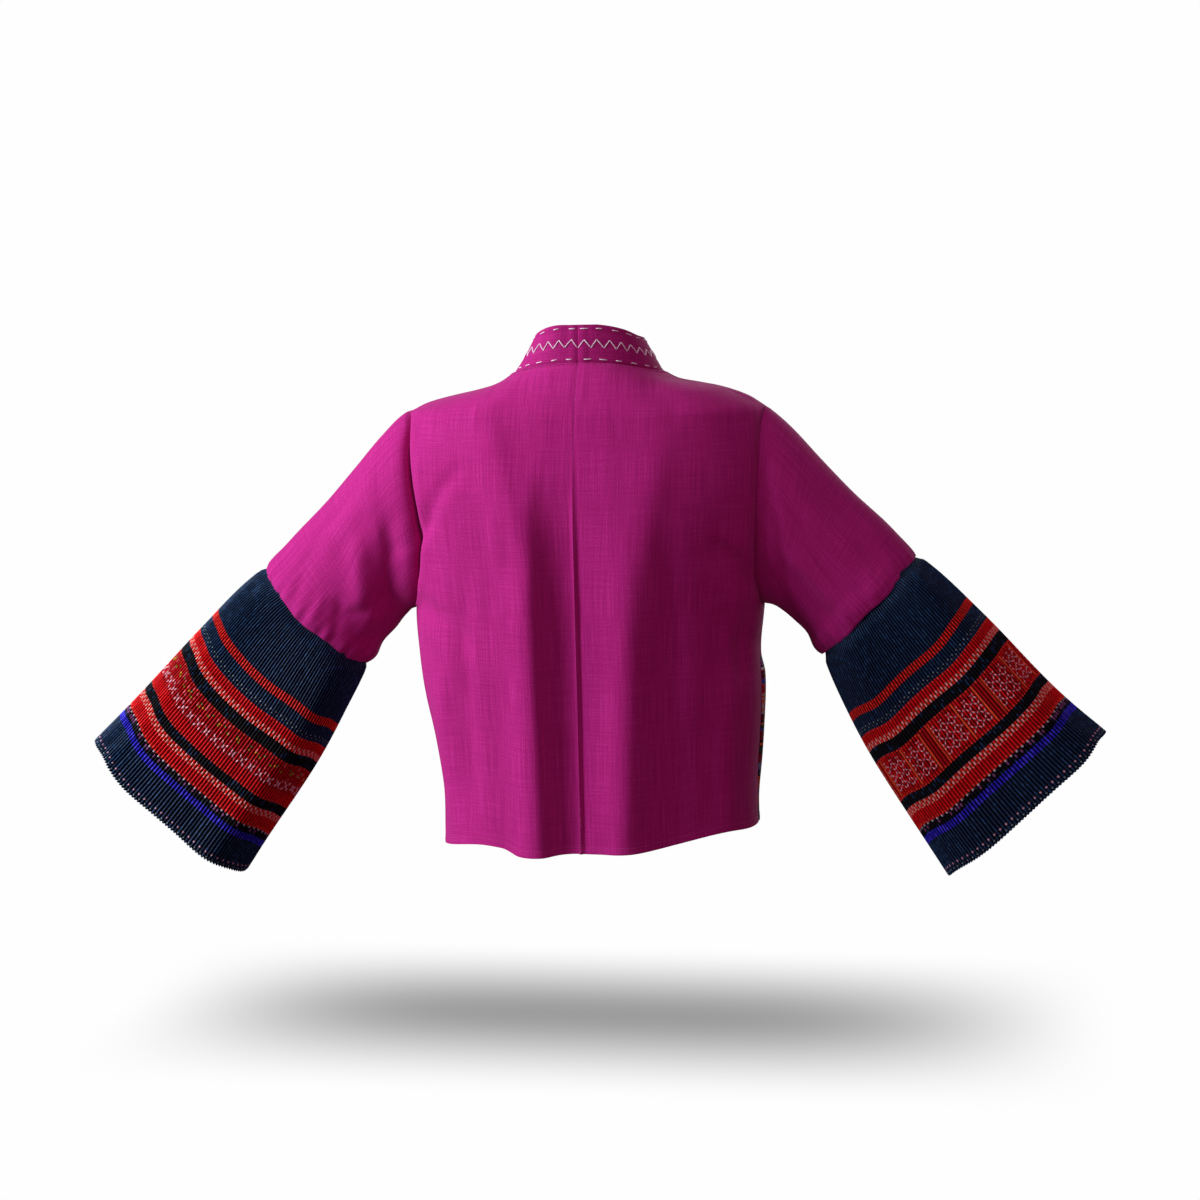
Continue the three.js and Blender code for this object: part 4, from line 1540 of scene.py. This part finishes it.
@dataclass
class NeckBand:
    """The folded linen band: it stands at the back of the neck and lies along each front edge."""

    width: float = 38.0
    wall: float = 2.4
    last_angle: float = 0.12
    turn_rows: float = 7.0
    tip: float = 0.1
    tuck: float = 2.2                # how far the lower edge goes behind the body's edge
    across: int = 16
    lean: dict[Side, float] = by_side(0.85, 0.55)
    seam_sink: float = 1.9
    spacing: float = 2.4
    dash: float = 7.6
    dash_pitch: float = 16.6
    thread_radius: float = 0.52
    zigzag_step: float = 6.2
    zigzag_reach: float = 4.3
    cut: Cut = Cut(0.0405, 0.67, 0.0271)

    def stations(self, body: Body, side: Side) -> tuple[Array, Array]:
        """Returns the points of the band's seam and the directions in which the band rises.

        Args:
            body: the body that it is sewn to.
            side: which side.

        Returns:
            The seam's points and unit directions.
        """
        rings = body.rings(side, Face.BACK)
        neck = Rings(*(values[:1] for values in rings))
        share = np.linspace(0, 1, 40, endpoint=False)
        start = body.angle_at_x(SEAM_GAP / 2, float(neck.width[0, 0]))
        angles = mix(start, self.last_angle, share)[None, :]
        seam_back = body.points(side, Face.BACK, neck, angles)[0]
        lean = -self.lean[side] * side.sign
        tips = np.full_like(share, self.tip)
        rise_back = np.stack([lean * share**1.5, tips, np.ones_like(share)], axis=1)
        rings = body.rings(side, Face.FRONT)
        end = body.end_angle(side, Face.FRONT, rings)
        seam_front = body.points(side, Face.FRONT, rings, end)[:, 0]
        inward = body.points(side, Face.FRONT, rings, end + 0.1)[:, 0] - seam_front
        inward[:, 2] = 0
        inward /= np.linalg.norm(inward, axis=1, keepdims=True)
        turned = smoothstep(rings.number, 0, self.turn_rows)
        rise_front = mix(np.array([lean, self.tip, 0.85]), inward, turned)
        seam = np.concatenate([seam_back, seam_front[::3]])
        rise = np.concatenate([rise_back, rise_front[::3]])
        return seam, rise / np.linalg.norm(rise, axis=1, keepdims=True)

    def build(self, body: Body, side: Side, finishes: Finishes) -> Chart:
        """Builds half of the band and returns its chart.

        Args:
            body: the body that it is sewn to.
            side: which side.
            finishes: the finishes.

        Returns:
            The half's chart.
        """
        seam, rise = self.stations(body, side)
        pair = resample(np.stack([seam, seam + rise * self.width], axis=1), self.spacing)
        seam, top = pair[:, 0], pair[:, 1]
        rise = (top - seam) / np.linalg.norm(top - seam, axis=1, keepdims=True)
        heights = np.linspace(SEAM_GAP, self.width, self.across + 1)
        heights[0] = -self.tuck
        grid = seam[:, None] + rise[:, None] * heights[None, :, None]
        grid[0, :, 0] = side.sign * SEAM_GAP / 2
        normals = grid_normals(grid, NECK_MIDDLE)
        along = running(steps(grid[:, self.across // 2], 0))[:, None]
        edge = np.maximum(heights[None, :], 0) / self.width
        swell = 0.5 * np.sin(math.pi * edge) ** 0.6 - 0.5
        strip = 0.9 if side is Side.RIGHT else 0.35
        fold = strip * (1 - smoothstep(along, 7.5, 9.5)) - 0.7 * bell(along, 1.4)
        wave = 0.8 * np.sin(along / 17 + 0.6 + side.sign) + 0.5 * np.sin(along / 7.3 + side.sign)
        rise_out = swell + fold + wave * edge * smoothstep(along, 4, 20)
        rise_out[:, 0] -= self.seam_sink
        outer = grid + normals * rise_out[:, :, None]
        upright = smoothstep(along, 6, 25)
        outer[:, :, 2] += (0.7 * np.sin(along / 21 + 1.1) * edge * upright) * (along < 160)
        outer[0, :, 0] = side.sign * SEAM_GAP / 2
        normals = grid_normals(outer, NECK_MIDDLE)
        normals[0, :, 0] = 0
        normals /= np.linalg.norm(normals, axis=2, keepdims=True)
        inner = outer - normals * self.wall
        piece = cloth_wall(f"neck_band_{side.value}_cloth", outer, inner, cloth_uv(outer, 0))
        finish_sheet(piece, finishes.band, self.cut)
        return Chart(outer, normals)

    def embroider(self, charts: dict[Side, Chart], finishes: Finishes) -> None:
        """Sews the white running stitches and the zigzag on both halves of the band.

        Args:
            charts: the two halves.
            finishes: the finishes.
        """
        work = Needlework("neck_band_stitches_white", self.thread_radius)
        rng = np.random.default_rng(11)
        for side, chart in charts.items():
            for height, first in ((self.width - 4.0, 2.5), (3.2, 6.0)):
                column = height / self.width * self.across
                lengths = chart.lengths(round(column))
                place = first
                while place + self.dash < lengths[-1] - 3:
                    long = self.dash * rng.uniform(0.82, 1.12)
                    tilt = rng.uniform(-0.12, 0.12)
                    self.sew(work, chart, lengths, (place, column - tilt), (place + long, column + tilt))
                    place += self.dash_pitch * rng.uniform(0.92, 1.08)
            lengths = chart.lengths(round(0.5 * self.across))
            reach = self.zigzag_reach / self.width * self.across
            middle = 0.5 * self.across
            place, up = 0.4, 1
            while place + self.zigzag_step < lengths[-1] - 3:
                step = self.zigzag_step * rng.uniform(0.88, 1.12)
                low = middle - up * reach * rng.uniform(0.85, 1.1)
                high = middle + up * reach * rng.uniform(0.85, 1.1)
                self.sew(work, chart, lengths, (place, low), (place + step, high))
                place += step
                up = -up
        finish_stitches(work.make(), finishes.white_thread)

    def sew(
        self, work: Needlework, chart: Chart, lengths: Array, start: tuple, end: tuple
    ) -> None:
        """Adds one stitch between two places, each a distance along and a column number.

        Args:
            work: the stitches to add to.
            chart: the cloth that is sewn.
            lengths: the distance along at each row.
            start: where it starts.
            end: where it ends.
        """
        rows = np.arange(len(lengths))
        (first, normal), (last, _) = (
            chart.at(float(np.interp(place, lengths, rows)), column) for place, column in (start, end)
        )
        work.stitch(first, last, normal)


@dataclass
class Sleeve:
    """A linen upper sleeve, from the armhole seam to the cuff seam."""

    wall: float = 1.5
    spacing: float = 3.0
    cut: dict[Side, Cut] = by_side(Cut(0.46, 0.2, 0.0735), Cut(0.44, 0.18, 0.0615))
    stand: dict[Side, float] = by_side(8.5, 2.2)

    def section(self, side: Side, section: Section, columns: int) -> Array:
        """Returns the points of one section, from its outer edge round by the back.

        Args:
            side: which side.
            section: the section's sizes.
            columns: how many columns.

        Returns:
            One ring of points.
        """
        turn = 2 * math.pi * np.arange(columns) / columns
        across, deep = np.cos(turn), np.sin(turn)
        x = mix(section.inner_x, section.outer_x, (1 + across) / 2)
        z = mix(section.inner_z, section.outer_z, (1 + across) / 2)
        return np.stack([side.sign * x, section.forward - section.depth * deep, z], axis=1)

    def build(self, body: Body, cuff: "Cuff", side: Side, finishes: Finishes) -> Chart:
        """Builds the sleeve and returns its chart.

        Args:
            body: the body that it is sewn to.
            cuff: the cuff that it is sewn to.
            side: which side.
            finishes: the finishes.

        Returns:
            The sleeve's chart.
        """
        edge = body.edges[side] + np.array([side.sign * SEAM_GAP, 0, 0])
        columns = len(edge)
        rings = [edge, *(self.section(side, row, columns) for row in SLEEVE_SECTIONS[side])]
        grid = resample(np.array(rings), self.spacing)
        turn = 2 * math.pi * np.arange(columns) / columns
        share = np.linspace(0, 1, len(grid))[:, None]
        slide = cuff.slide(side, turn, 0.0)[None, :] * smoothstep(share, 0.6, 1.0)
        grid = grid + cuff.axis(side) * slide[:, :, None]
        middle = grid.mean(axis=1, keepdims=True)
        normals = grid_normals(grid, middle, True)
        from_armhole = running(steps(grid, 0))
        from_cuff = from_armhole[-1:] - from_armhole
        facing = np.abs(np.sin(turn))[None, :] ** 0.5
        rise = crease_rise(SLEEVE_CREASES[side], side.sign * grid[:, :, 0], grid[:, :, 2]) * facing
        rise *= smoothstep(from_armhole, 0, 14) * smoothstep(from_cuff, 0, 5)
        on_side = np.sin(turn)[None, :] ** 2
        # The sleeve stands up beside the seam, which lies in the body's trough.
        beside = smoothstep(from_armhole, 0, 5) * (1 - smoothstep(from_armhole, 8, 42))
        rise += self.stand[side] * facing * beside
        rise += 1.0 * bell(from_armhole - 16, 9) * on_side
        # Small gathers where the sleeve is eased into the cuff, deepest at its lower edge.
        eased = (0.5 - 0.5 * np.cos(turn))[None, :]
        gathers = np.sin(23 * turn + 0.7) + 0.6 * np.sin(37 * turn + side.sign)
        rise += (0.5 + 0.9 * eased) * gathers[None, :] * bell(from_cuff - 5, 11) * 0.75
        rise += 2.2 * bell(from_cuff - 12, 12) * (0.4 + eased)
        rise -= 0.6 * bell(from_cuff, 2.2)
        outer = grid + normals * rise[:, :, None]
        normals = grid_normals(outer, middle, True)
        inner = outer - normals * self.wall
        piece = cloth_wall(f"sleeve_{side.value}_cloth", outer, inner, cloth_uv(outer, 0, True), True)
        finish_sheet(piece, finishes.linen, self.cut[side])
        return Chart(outer, normals)


@dataclass
class Cuff:
    """A bell cuff of pleated cloth in three tiers."""

    pleats: int = 144
    columns_per_pleat: int = 6
    pleat_reach: float = 1.5
    power: float = 2.4
    wall: float = 1.1
    row_spacing: float = 4.2
    tuck: float = 0.026              # how much of the cloth goes up inside the sleeve, of the length
    tuck_depth: float = 3.6
    scallop: float = 0.3
    band_share: float = 0.336
    hem_share: float = 0.79
    bow: dict[Side, tuple[tuple[float, float], ...]] = field(
        default_factory=lambda: {
            Side.LEFT: ((0.0, 5.0), (0.25, 7.0), (0.45, 9.0), (0.83, 5.0), (1.0, 1.5)),
            Side.RIGHT: ((0.0, 4.0), (0.25, 7.0), (0.45, 4.0), (0.83, 1.5), (1.0, 2.0)),
        }
    )

    cut_width: dict[Tier, float] = field(
        default_factory=lambda: {Tier.TOP: 0.94, Tier.BAND: 1.01, Tier.HEM: 1.09}
    )
    inner_drop: dict[Side, float] = by_side(9.0, 3.0)

    def turns(self, side: Side, columns: int) -> Array:
        """Returns the angles that space columns evenly round the cuff's middle section.

        Args:
            side: which side.
            columns: how many columns.

        Returns:
            One angle a column.
        """
        section = CUFF_SECTIONS[side][2]
        half = math.hypot(section.outer_x - section.inner_x, section.outer_z - section.inner_z) / 2
        fine = np.linspace(0, 2 * math.pi, 4001)
        x = half * np.sign(np.cos(fine)) * np.abs(np.cos(fine)) ** (2 / self.power)
        y = section.depth * np.sign(np.sin(fine)) * np.abs(np.sin(fine)) ** (2 / self.power)
        lengths = running(np.hypot(np.diff(x), np.diff(y)))
        return np.interp(lengths[-1] * np.arange(columns) / columns, lengths, fine)

    def stations(self, side: Side) -> Array:
        """Returns the share of the cuff's length at which each section lies.

        Args:
            side: which side.

        Returns:
            Shares from 0 to 1.
        """
        rows = CUFF_SECTIONS[side]
        centres = np.array(
            [((row.outer_x + row.inner_x) / 2, (row.outer_z + row.inner_z) / 2) for row in rows]
        )
        places = running(steps(centres, 0))
        return places / places[-1]

    def run(self, side: Side) -> tuple[float, float]:
        """Returns how far the cuff's middle goes outwards and up, from its seam to its edge.

        Args:
            side: which side.

        Returns:
            The two distances.
        """
        first, last = CUFF_SECTIONS[side][0], CUFF_SECTIONS[side][-1]
        run_x = (last.outer_x + last.inner_x - first.outer_x - first.inner_x) / 2
        run_z = (last.outer_z + last.inner_z - first.outer_z - first.inner_z) / 2
        return run_x, run_z

    def axis(self, side: Side) -> Array:
        """Returns the cuff's direction, from its seam to its lower edge."""
        run_x, run_z = self.run(side)
        return np.array([side.sign * run_x, 0.0, run_z]) / math.hypot(run_x, run_z)

    def slide(self, side: Side, turn: Array, share: Any) -> Array:
        """Returns how far the bands slip along the cuff: bowed on each face, with soft waves.

        Args:
            side: which side.
            turn: angles round the cuff.
            share: places along the cuff, from 0 to 1.

        Returns:
            Millimetres along the cuff.
        """
        places, sizes = zip(*self.bow[side])
        size = np.interp(share, places, sizes)
        across = np.cos(turn)
        arch = (1 - across**2) * (1 + 0.35 * across)
        phase = 0.9 * side.sign + 1.6 * np.asarray(share)
        waves = 0.9 * np.sin(6 * turn + phase) + 0.5 * np.sin(8 * turn - 1.7 * phase)
        inner_edge = bell(np.abs(turn - 3.25), 0.42) * (1 - smoothstep(share, 0.8, 1.0))
        return size * arch + waves + self.inner_drop[side] * inner_edge * smoothstep(share, 0.0, 0.2)

    def flutes(self, side: Side, turn: Array, share: Any) -> Array:
        """Returns the soft swells round the cuff, which grow towards its lower edge.

        Args:
            side: which side.
            turn: angles round the cuff.
            share: places along the cuff, from 0 to 1.

        Returns:
            Millimetres outwards.
        """
        phase = 1.3 + 0.8 * side.sign
        return (0.5 + 1.0 * np.asarray(share)) * (
            np.sin(6 * turn + phase) + 0.6 * np.sin(9 * turn - 2 * phase + 1.4 * np.asarray(share))
        )

    def surface(self, side: Side, turn: Array, share: Array, lift: Array) -> Array:
        """Returns points of the cuff at each turn and share of its length.

        Args:
            side: which cuff.
            turn: angles round the cuff from its outer edge, one row of them.
            share: places along the cuff, one column of them.
            lift: how far each point stands out.

        Returns:
            A grid of points in millimetres.
        """
        places = self.stations(side)
        rows = CUFF_SECTIONS[side]
        values = {}
        for name in Section._fields:
            knots = np.array([getattr(row, name) for row in rows], float)
            values[name] = curve(places, knots, np.gradient(knots, places), share)
        half_x = (values["outer_x"] - values["inner_x"]) / 2
        half_z = (values["outer_z"] - values["inner_z"]) / 2
        half = np.hypot(half_x, half_z)
        cosine, sine = np.cos(turn), np.sin(turn)
        across = np.sign(cosine) * np.abs(cosine) ** (2 / self.power)
        deep = np.sign(sine) * np.abs(sine) ** (2 / self.power)
        out_a, out_b = across / half, deep / values["depth"]
        size = np.hypot(out_a, out_b)
        reach = across + lift * out_a / size / half
        x = side.sign * ((values["outer_x"] + values["inner_x"]) / 2 + half_x * reach)
        y = values["forward"] - values["depth"] * deep - lift * out_b / size
        z = (values["outer_z"] + values["inner_z"]) / 2 + half_z * reach
        points = np.stack([x, y, z], axis=2)
        return points + self.axis(side) * self.slide(side, turn, share)[:, :, None]

    def pleat_lift(self, number: Array, share: Array, seed: int) -> Array:
        """Returns the pleats' ridges and narrow gaps, a little uneven, by their number round the cuff.

        Args:
            number: pleat numbers round the cuff.
            share: places along the cuff, from 0 to 1.
            seed: the seed of its uneven sizes.

        Returns:
            Millimetres outwards at each point.
        """
        rng = np.random.default_rng(seed)
        pleat = np.floor(number + 0.5).astype(int) % self.pleats
        size = rng.uniform(0.82, 1.12, self.pleats)[pleat]
        ridge = np.abs(np.cos(math.pi * number)) ** 0.8
        opening = 0.72 + 0.28 * smoothstep(share, 0.0, 0.12) + 0.12 * smoothstep(share, 0.85, 1.0)
        return self.pleat_reach * opening * size * (2 * ridge - 1)

    def build(self, side: Side, finishes: Finishes) -> None:
        """Builds the three tiers of one cuff.

        Args:
            side: which side.
            finishes: the finishes.
        """
        columns = self.pleats * self.columns_per_pleat
        number = np.arange(columns)[None, :] / self.columns_per_pleat
        turn = self.turns(side, columns)
        length = math.hypot(*self.run(side))
        gap = SEAM_GAP / length
        spans = {
            Tier.TOP: (-self.tuck, self.band_share - gap),
            Tier.BAND: (self.band_share, self.hem_share - gap),
            Tier.HEM: (self.hem_share, 1.0),
        }
        for tier, (start, end) in spans.items():
            count = max(3, round((end - start) * length / self.row_spacing)) + 1
            share = np.linspace(start, end, count)[:, None]
            lift = self.pleat_lift(number, share, 40 + side.sign)
            lift = lift + self.flutes(side, turn[None, :], share)
            if tier is Tier.TOP:
                tucked = 1 - smoothstep(share, -0.012, 0.03)
                lift = mix(lift, 0.4 * lift - self.tuck_depth, tucked)
            outer = self.surface(side, turn[None, :], share, lift)
            inner = self.surface(side, turn[None, :], share, lift - self.wall)
            if tier is Tier.HEM:
                scallop = self.scallop * np.cos(2 * math.pi * np.arange(columns) / self.columns_per_pleat)
                weight = smoothstep(share, 0.985, 1.0)[:, :, None]
                outer = outer + self.axis(side) * scallop[None, :, None] * weight
                inner = inner + self.axis(side) * scallop[None, :, None] * weight
            pleat = np.arange(columns + 1) / self.columns_per_pleat
            uv = np.stack(np.broadcast_arrays(pleat[None, :], share), axis=2)
            piece = cloth_wall(f"cuff_{tier.value}_{side.value}_cloth", outer, inner, uv, True)
            height = (end - start) * length * MM
            width = self.cut_width[tier]
            cut = Cut(width, height, width * height)
            finish_sheet(piece, finishes.pleats[tier, side], cut)


@dataclass
class MachineStitching:
    """Rows of small matching stitches: the hem, the cuff seams and the neck seam."""

    thread_radius: float = 0.24
    pitch: float = 3.4
    long: float = 2.4

    def row(self, work: Needlework, line: Array, normals: Array) -> None:
        """Sews along a line of points on the cloth.

        Args:
            work: the stitches to add to.
            line: the points.
            normals: the outward direction at each point.
        """
        lengths = running(steps(line, 0))
        for place in np.arange(1.0, lengths[-1] - self.long, self.pitch):
            first, last, normal = (
                np.array([np.interp(at, lengths, values[:, axis]) for axis in range(3)])
                for at, values in ((place, line), (place + self.long, line), (place, normals))
            )
            work.stitch(first, last, normal)

    def build(
        self,
        backs: dict[Side, Chart],
        textiles: dict[Side, Chart],
        sleeves: dict[Side, Chart],
        finishes: Finishes,
    ) -> None:
        """Sews the hems and the rows beside the cuff seams.

        Args:
            backs: the charts of the backs.
            textiles: the charts of the banded textiles.
            sleeves: the charts of the sleeves.
            finishes: the finishes.
        """
        hem = Needlework("hem_stitches", self.thread_radius, 4)
        for side in Side:
            for chart, row in ((backs[side], -3), (textiles[side], -3)):
                self.row(hem, chart.points[row], chart.normals[row])
        finish_stitches(hem.make(), finishes.linen_thread)
        seam = Needlework("cuff_seam_stitches", self.thread_radius, 4)
        for side in Side:
            points = np.concatenate([sleeves[side].points[-2], sleeves[side].points[-2][:1]])
            normals = np.concatenate([sleeves[side].normals[-2], sleeves[side].normals[-2][:1]])
            self.row(seam, points, normals)
        finish_stitches(seam.make(), finishes.linen_thread)
        neck = Needlework("neck_seam_stitches", 0.26, 4)
        for side in Side:
            chart = backs[side]
            for column in range(2, chart.points.shape[1] - 1):
                self.pick(neck, chart, column)
        finish_stitches(neck.make(), finishes.linen_thread)

    def pick(self, work: Needlework, chart: Chart, column: int) -> None:
        """Adds one small upright stitch below the neck seam.

        Args:
            work: the stitches to add to.
            chart: the cloth that is sewn.
            column: the column number.
        """
        first, normal = chart.at(0.15, column)
        last, _ = chart.at(1.0, column + 0.2)
        work.stitch(first, last, normal)


@dataclass
class Studio:
    """A clear floor with a soft painted shade, a white surround, soft lights, and the camera."""

    floor_z: float = -0.695
    target: tuple[float, float, float] = (0.0051, 0.0009, -0.25)
    azimuth: float = 10.0
    elevation: float = 8.0
    distance: float = 2.8
    roll: float = 1.35
    view_width: float = 1.248
    sensor: float = 36.0
    shadow_reach: tuple[tuple[float, float], ...] = ((0.54, 2.0), (0.28, 1.0))
    shadow_depth: float = 0.66

    def build(self) -> None:
        """Makes the camera, the floor, the lights and the surround."""
        self.add_camera()
        self.add_floor()
        self.add_light("key", (-2.55, -0.95, 0.75), (1.7, 1.7), 114, (0.93, 0.95, 1.0))
        self.add_light("overhead", (-0.3, -0.5, 1.9), (1.6, 1.6), 13, (1.0, 0.95, 0.95))
        self.add_light("right", (2.6, -1.3, -0.1), (1.6, 1.6), 3, (1.0, 0.5, 0.6))
        self.add_light("behind", (0.6, 3.0, 0.5), (2.4, 2.4), 45, (1.0, 0.95, 0.97))
        self.add_light("fill", (0.9, -3.0, 0.3), (2.4, 2.4), 14, (1.0, 0.5, 0.66))
        self.add_surround()
        bpy.context.scene.view_settings.view_transform = "Standard"

    def add_camera(self) -> None:
        """Sets the camera at its angle, tilted a little so that the jacket hangs as it does."""
        turn, lift = math.radians(self.azimuth), math.radians(self.elevation)
        away = Vector((math.sin(turn) * math.cos(lift), -math.cos(turn) * math.cos(lift), math.sin(lift)))
        camera = bpy.data.cameras.new("camera")
        camera.sensor_width = self.sensor
        camera.lens = self.sensor * self.distance / self.view_width
        camera.clip_end = 100
        view = put_in_scene("camera", camera)
        aim = away.to_track_quat("Z", "Y").to_matrix().to_4x4()
        tilt = Matrix.Rotation(math.radians(-self.roll), 4, "Z")
        view.matrix_world = Matrix.Translation(Vector(self.target) + away * self.distance) @ aim @ tilt
        bpy.context.scene.camera = view

    def add_floor(self) -> None:
        """Lays the floor: clear in the white surround, with the jacket's soft shade painted on it."""
        bpy.ops.object.select_all(action="DESELECT")
        bpy.ops.mesh.primitive_circle_add(
            vertices=96, radius=4.0, fill_type="NGON", location=(0, 0, self.floor_z)
        )
        floor = bpy.context.object
        floor.name = "studio_floor"
        bpy.ops.object.transform_apply(location=True)
        material, tree = new_material("paper_white_shaded")
        place = add_node(tree, "TexCoord").outputs["Object"]
        axes = add_node(tree, "SeparateXYZ", {0: place}).outputs
        falls = []
        for axis, (reach, power) in enumerate(self.shadow_reach):
            scaled = add_node(tree, "Math", {"operation": "DIVIDE", 0: axes[axis], 1: reach})
            size = add_node(tree, "Math", {"operation": "ABSOLUTE", 0: scaled})
            curve = add_node(tree, "Math", {"operation": "POWER", 0: size, 1: power})
            fade = {"interpolation_type": "SMOOTHSTEP", "To Min": 1.0, "To Max": 0.0, "Value": curve}
            falls.append(add_node(tree, "MapRange", fade))
        both_ways = add_node(tree, "Math", {"operation": "MULTIPLY", 0: falls[0], 1: falls[1]})
        shade = add_node(tree, "Math", {"operation": "MULTIPLY", 0: both_ways, 1: self.shadow_depth})
        clear = add_node(tree, "BsdfTransparent")
        dark = add_node(tree, "BsdfDiffuse", {"Color": (0.0, 0.0, 0.0, 1)})
        both = add_node(tree, "MixShader", {0: shade, 1: clear, 2: dark})
        add_node(tree, "OutputMaterial", {"Surface": both})
        floor.data.materials.append(material)

    def add_light(
        self,
        name: str,
        place: tuple[float, float, float],
        size: tuple[float, float],
        power: float,
        colour: tuple[float, float, float],
    ) -> None:
        """Adds a soft rectangular light that faces the jacket.

        Args:
            name: its name.
            place: where it stands.
            size: its width and height.
            power: its power in watts.
            colour: its linear colour.
        """
        lamp = bpy.data.lights.new(name, "AREA")
        lamp.shape = "RECTANGLE"
        lamp.size, lamp.size_y = size
        lamp.energy = power
        lamp.color = colour
        light = put_in_scene(name, lamp)
        light.location = place
        away = Vector(place) - Vector(self.target)
        light.rotation_euler = away.to_track_quat("Z", "Y").to_euler()

    def add_surround(self) -> None:
        """Makes the surround white to look at, and dim as a light."""
        world = bpy.data.worlds.new("surround")
        bpy.context.scene.world = world
        world.use_nodes = True
        tree = world.node_tree
        tree.nodes.clear()
        seen = add_node(tree, "LightPath").outputs["Is Camera Ray"]
        dim = add_node(tree, "Background", {"Color": (1.0, 0.62, 0.74, 1), "Strength": 0.075})
        white = add_node(tree, "Background", {"Color": (1, 1, 1, 1), "Strength": 0.99})
        background = add_node(tree, "MixShader", {0: seen, 1: dim, 2: white})
        add_node(tree, "OutputWorld", {"Surface": background})


def corners(box: Sequence[Vector]) -> list[list[float]]:
    """Turns a box's two corners to plain lists."""
    return [[float(value) for value in corner] for corner in box]


def main() -> None:
    """Builds the jacket piece by piece, and its studio."""
    logging.basicConfig(level=logging.INFO, format="%(name)s: %(message)s")
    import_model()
    Studio().build()
    finishes = Finishes.make()
    body, band, sleeve, cuff = Body(), NeckBand(), Sleeve(), Cuff()
    backs = {side: body.build_back(side, finishes) for side in Side}
    textiles = {side: body.build_front(side, finishes) for side in Side}
    band.embroider({side: band.build(body, side, finishes) for side in Side}, finishes)
    sleeves = {side: sleeve.build(body, cuff, side, finishes) for side in Side}
    for side in Side:
        cuff.build(side, finishes)
    MachineStitching().build(backs, textiles, sleeves, finishes)


if __name__ == "__main__":
    main()
